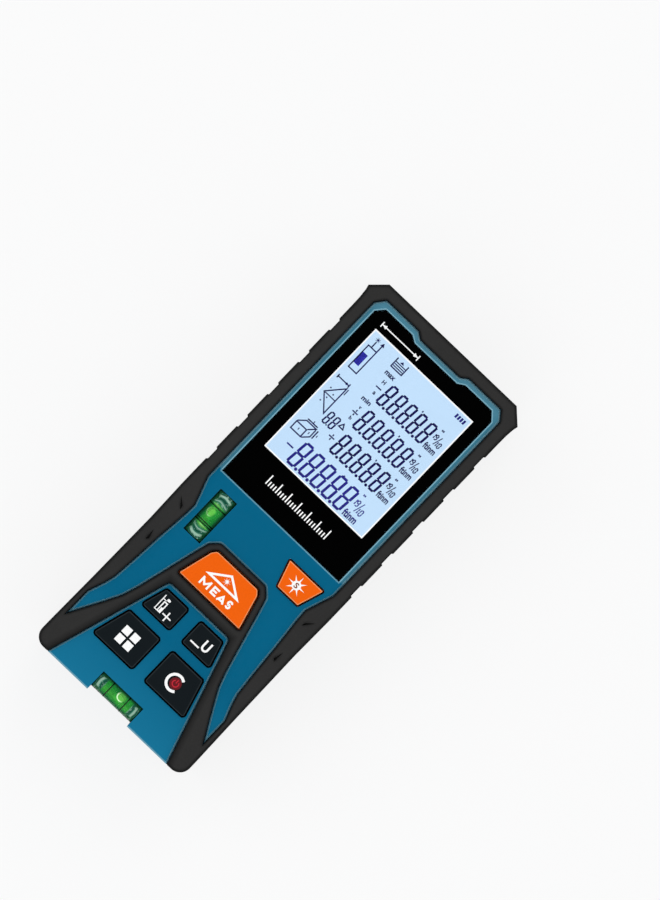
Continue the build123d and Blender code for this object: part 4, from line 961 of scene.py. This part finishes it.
# ---------------------------------------------------------------- floor, camera and light, in metres
FLOOR_HALF = 4.0
FLOOR_DROP = 0.05 * MM  # how far the floor is under the meter, so that the two faces don't coincide
FLOOR_GLOW = 0.82
LOOK_AT = Vector((-4.0 * MM, 21.5 * MM, cad_box[1][2]))
CAMERA_HEIGHT = 1.1
CAMERA_TURN = 43.7  # degrees, so that the meter lies aslant in the picture
FIELD_HEIGHT = 0.2153  # of the front face that the picture is high
LIGHT_REACH = 1.5
LIGHT_SIZE = 0.9
LIGHT_RISE = 38  # degrees over the floor
LIGHTS = ((10, 3.0), (100, 5.0), (190, 3.0), (280, 3.0))  # azimuth in degrees, and watts
SKY_COLOUR = (0.97, 0.985, 1.0)
SKY_FADE = (0.90, 0.97)  # upward share of a direction where the sky starts to darken, and is dark
SKY_STRENGTH = (0.86, 0.02)  # the dark cap overhead keeps the flat window from mirroring the sky

floor_mesh = bmesh.new()
bmesh.ops.create_grid(floor_mesh, x_segments=1, y_segments=1, size=FLOOR_HALF)
floor_data = bpy.data.meshes.new("floor")
floor_mesh.to_mesh(floor_data)
floor_mesh.free()
floor = bpy.data.objects.new("floor", floor_data)
bpy.context.scene.collection.objects.link(floor)
floor.location.z = cad_box[0][2] - FLOOR_DROP
floor_look = Look("floor", Roughness=0.9, Specular_IOR_Level=0.1, Emission_Strength=FLOOR_GLOW)
floor_look.feed("Emission Color", (*WHITE, 1))
# from below the floor is clear, so that the back of the meter can be seen through it
underneath = floor_look.tree.nodes.new("ShaderNodeNewGeometry").outputs["Backfacing"]
floor_look.feed("Alpha", floor_look.maths("SUBTRACT", 1.0, underneath))
floor_look.feed("Base Color", floor_look.mix(floor_look.noise(900), *FLOOR_GREYS))
floor_data.materials.append(floor_look.material)

camera_data = bpy.data.cameras.new("camera")
camera_data.sensor_fit = "VERTICAL"
camera_data.sensor_height = 24.0
camera_data.lens = camera_data.sensor_height * CAMERA_HEIGHT / FIELD_HEIGHT
camera = bpy.data.objects.new("camera", camera_data)
camera.location = LOOK_AT + Vector((0, 0, CAMERA_HEIGHT))
camera.rotation_euler = (0, 0, math.radians(CAMERA_TURN))
bpy.context.scene.collection.objects.link(camera)
bpy.context.scene.camera = camera

for index, (azimuth, power) in enumerate(LIGHTS):
    light_data = bpy.data.lights.new(f"softbox_{index}", "AREA")
    light_data.shape = "SQUARE"
    light_data.size = LIGHT_SIZE
    light_data.energy = power
    light = bpy.data.objects.new(f"softbox_{index}", light_data)
    turn, rise = math.radians(azimuth), math.radians(LIGHT_RISE)
    away = Vector((math.cos(turn) * math.cos(rise), math.sin(turn) * math.cos(rise), math.sin(rise)))
    light.location = LOOK_AT + away * LIGHT_REACH
    light.rotation_euler = away.to_track_quat("Z", "Y").to_euler()
    bpy.context.scene.collection.objects.link(light)

world = bpy.data.worlds.new("studio")
world.use_nodes = True
sky = world.node_tree
direction = sky.nodes.new("ShaderNodeTexCoord").outputs["Generated"]
height = sky.nodes.new("ShaderNodeSeparateXYZ")
sky.links.new(direction, height.inputs[0])
fade = sky.nodes.new("ShaderNodeMapRange")
sky.links.new(height.outputs[2], fade.inputs[0])
for value, socket in zip((*SKY_FADE, *SKY_STRENGTH), fade.inputs[1:5]):
    socket.default_value = value
sky.nodes["Background"].inputs["Color"].default_value = (*SKY_COLOUR, 1)
sky.links.new(fade.outputs[0], sky.nodes["Background"].inputs["Strength"])
bpy.context.scene.world = world
bpy.context.scene.view_settings.view_transform = "Standard"
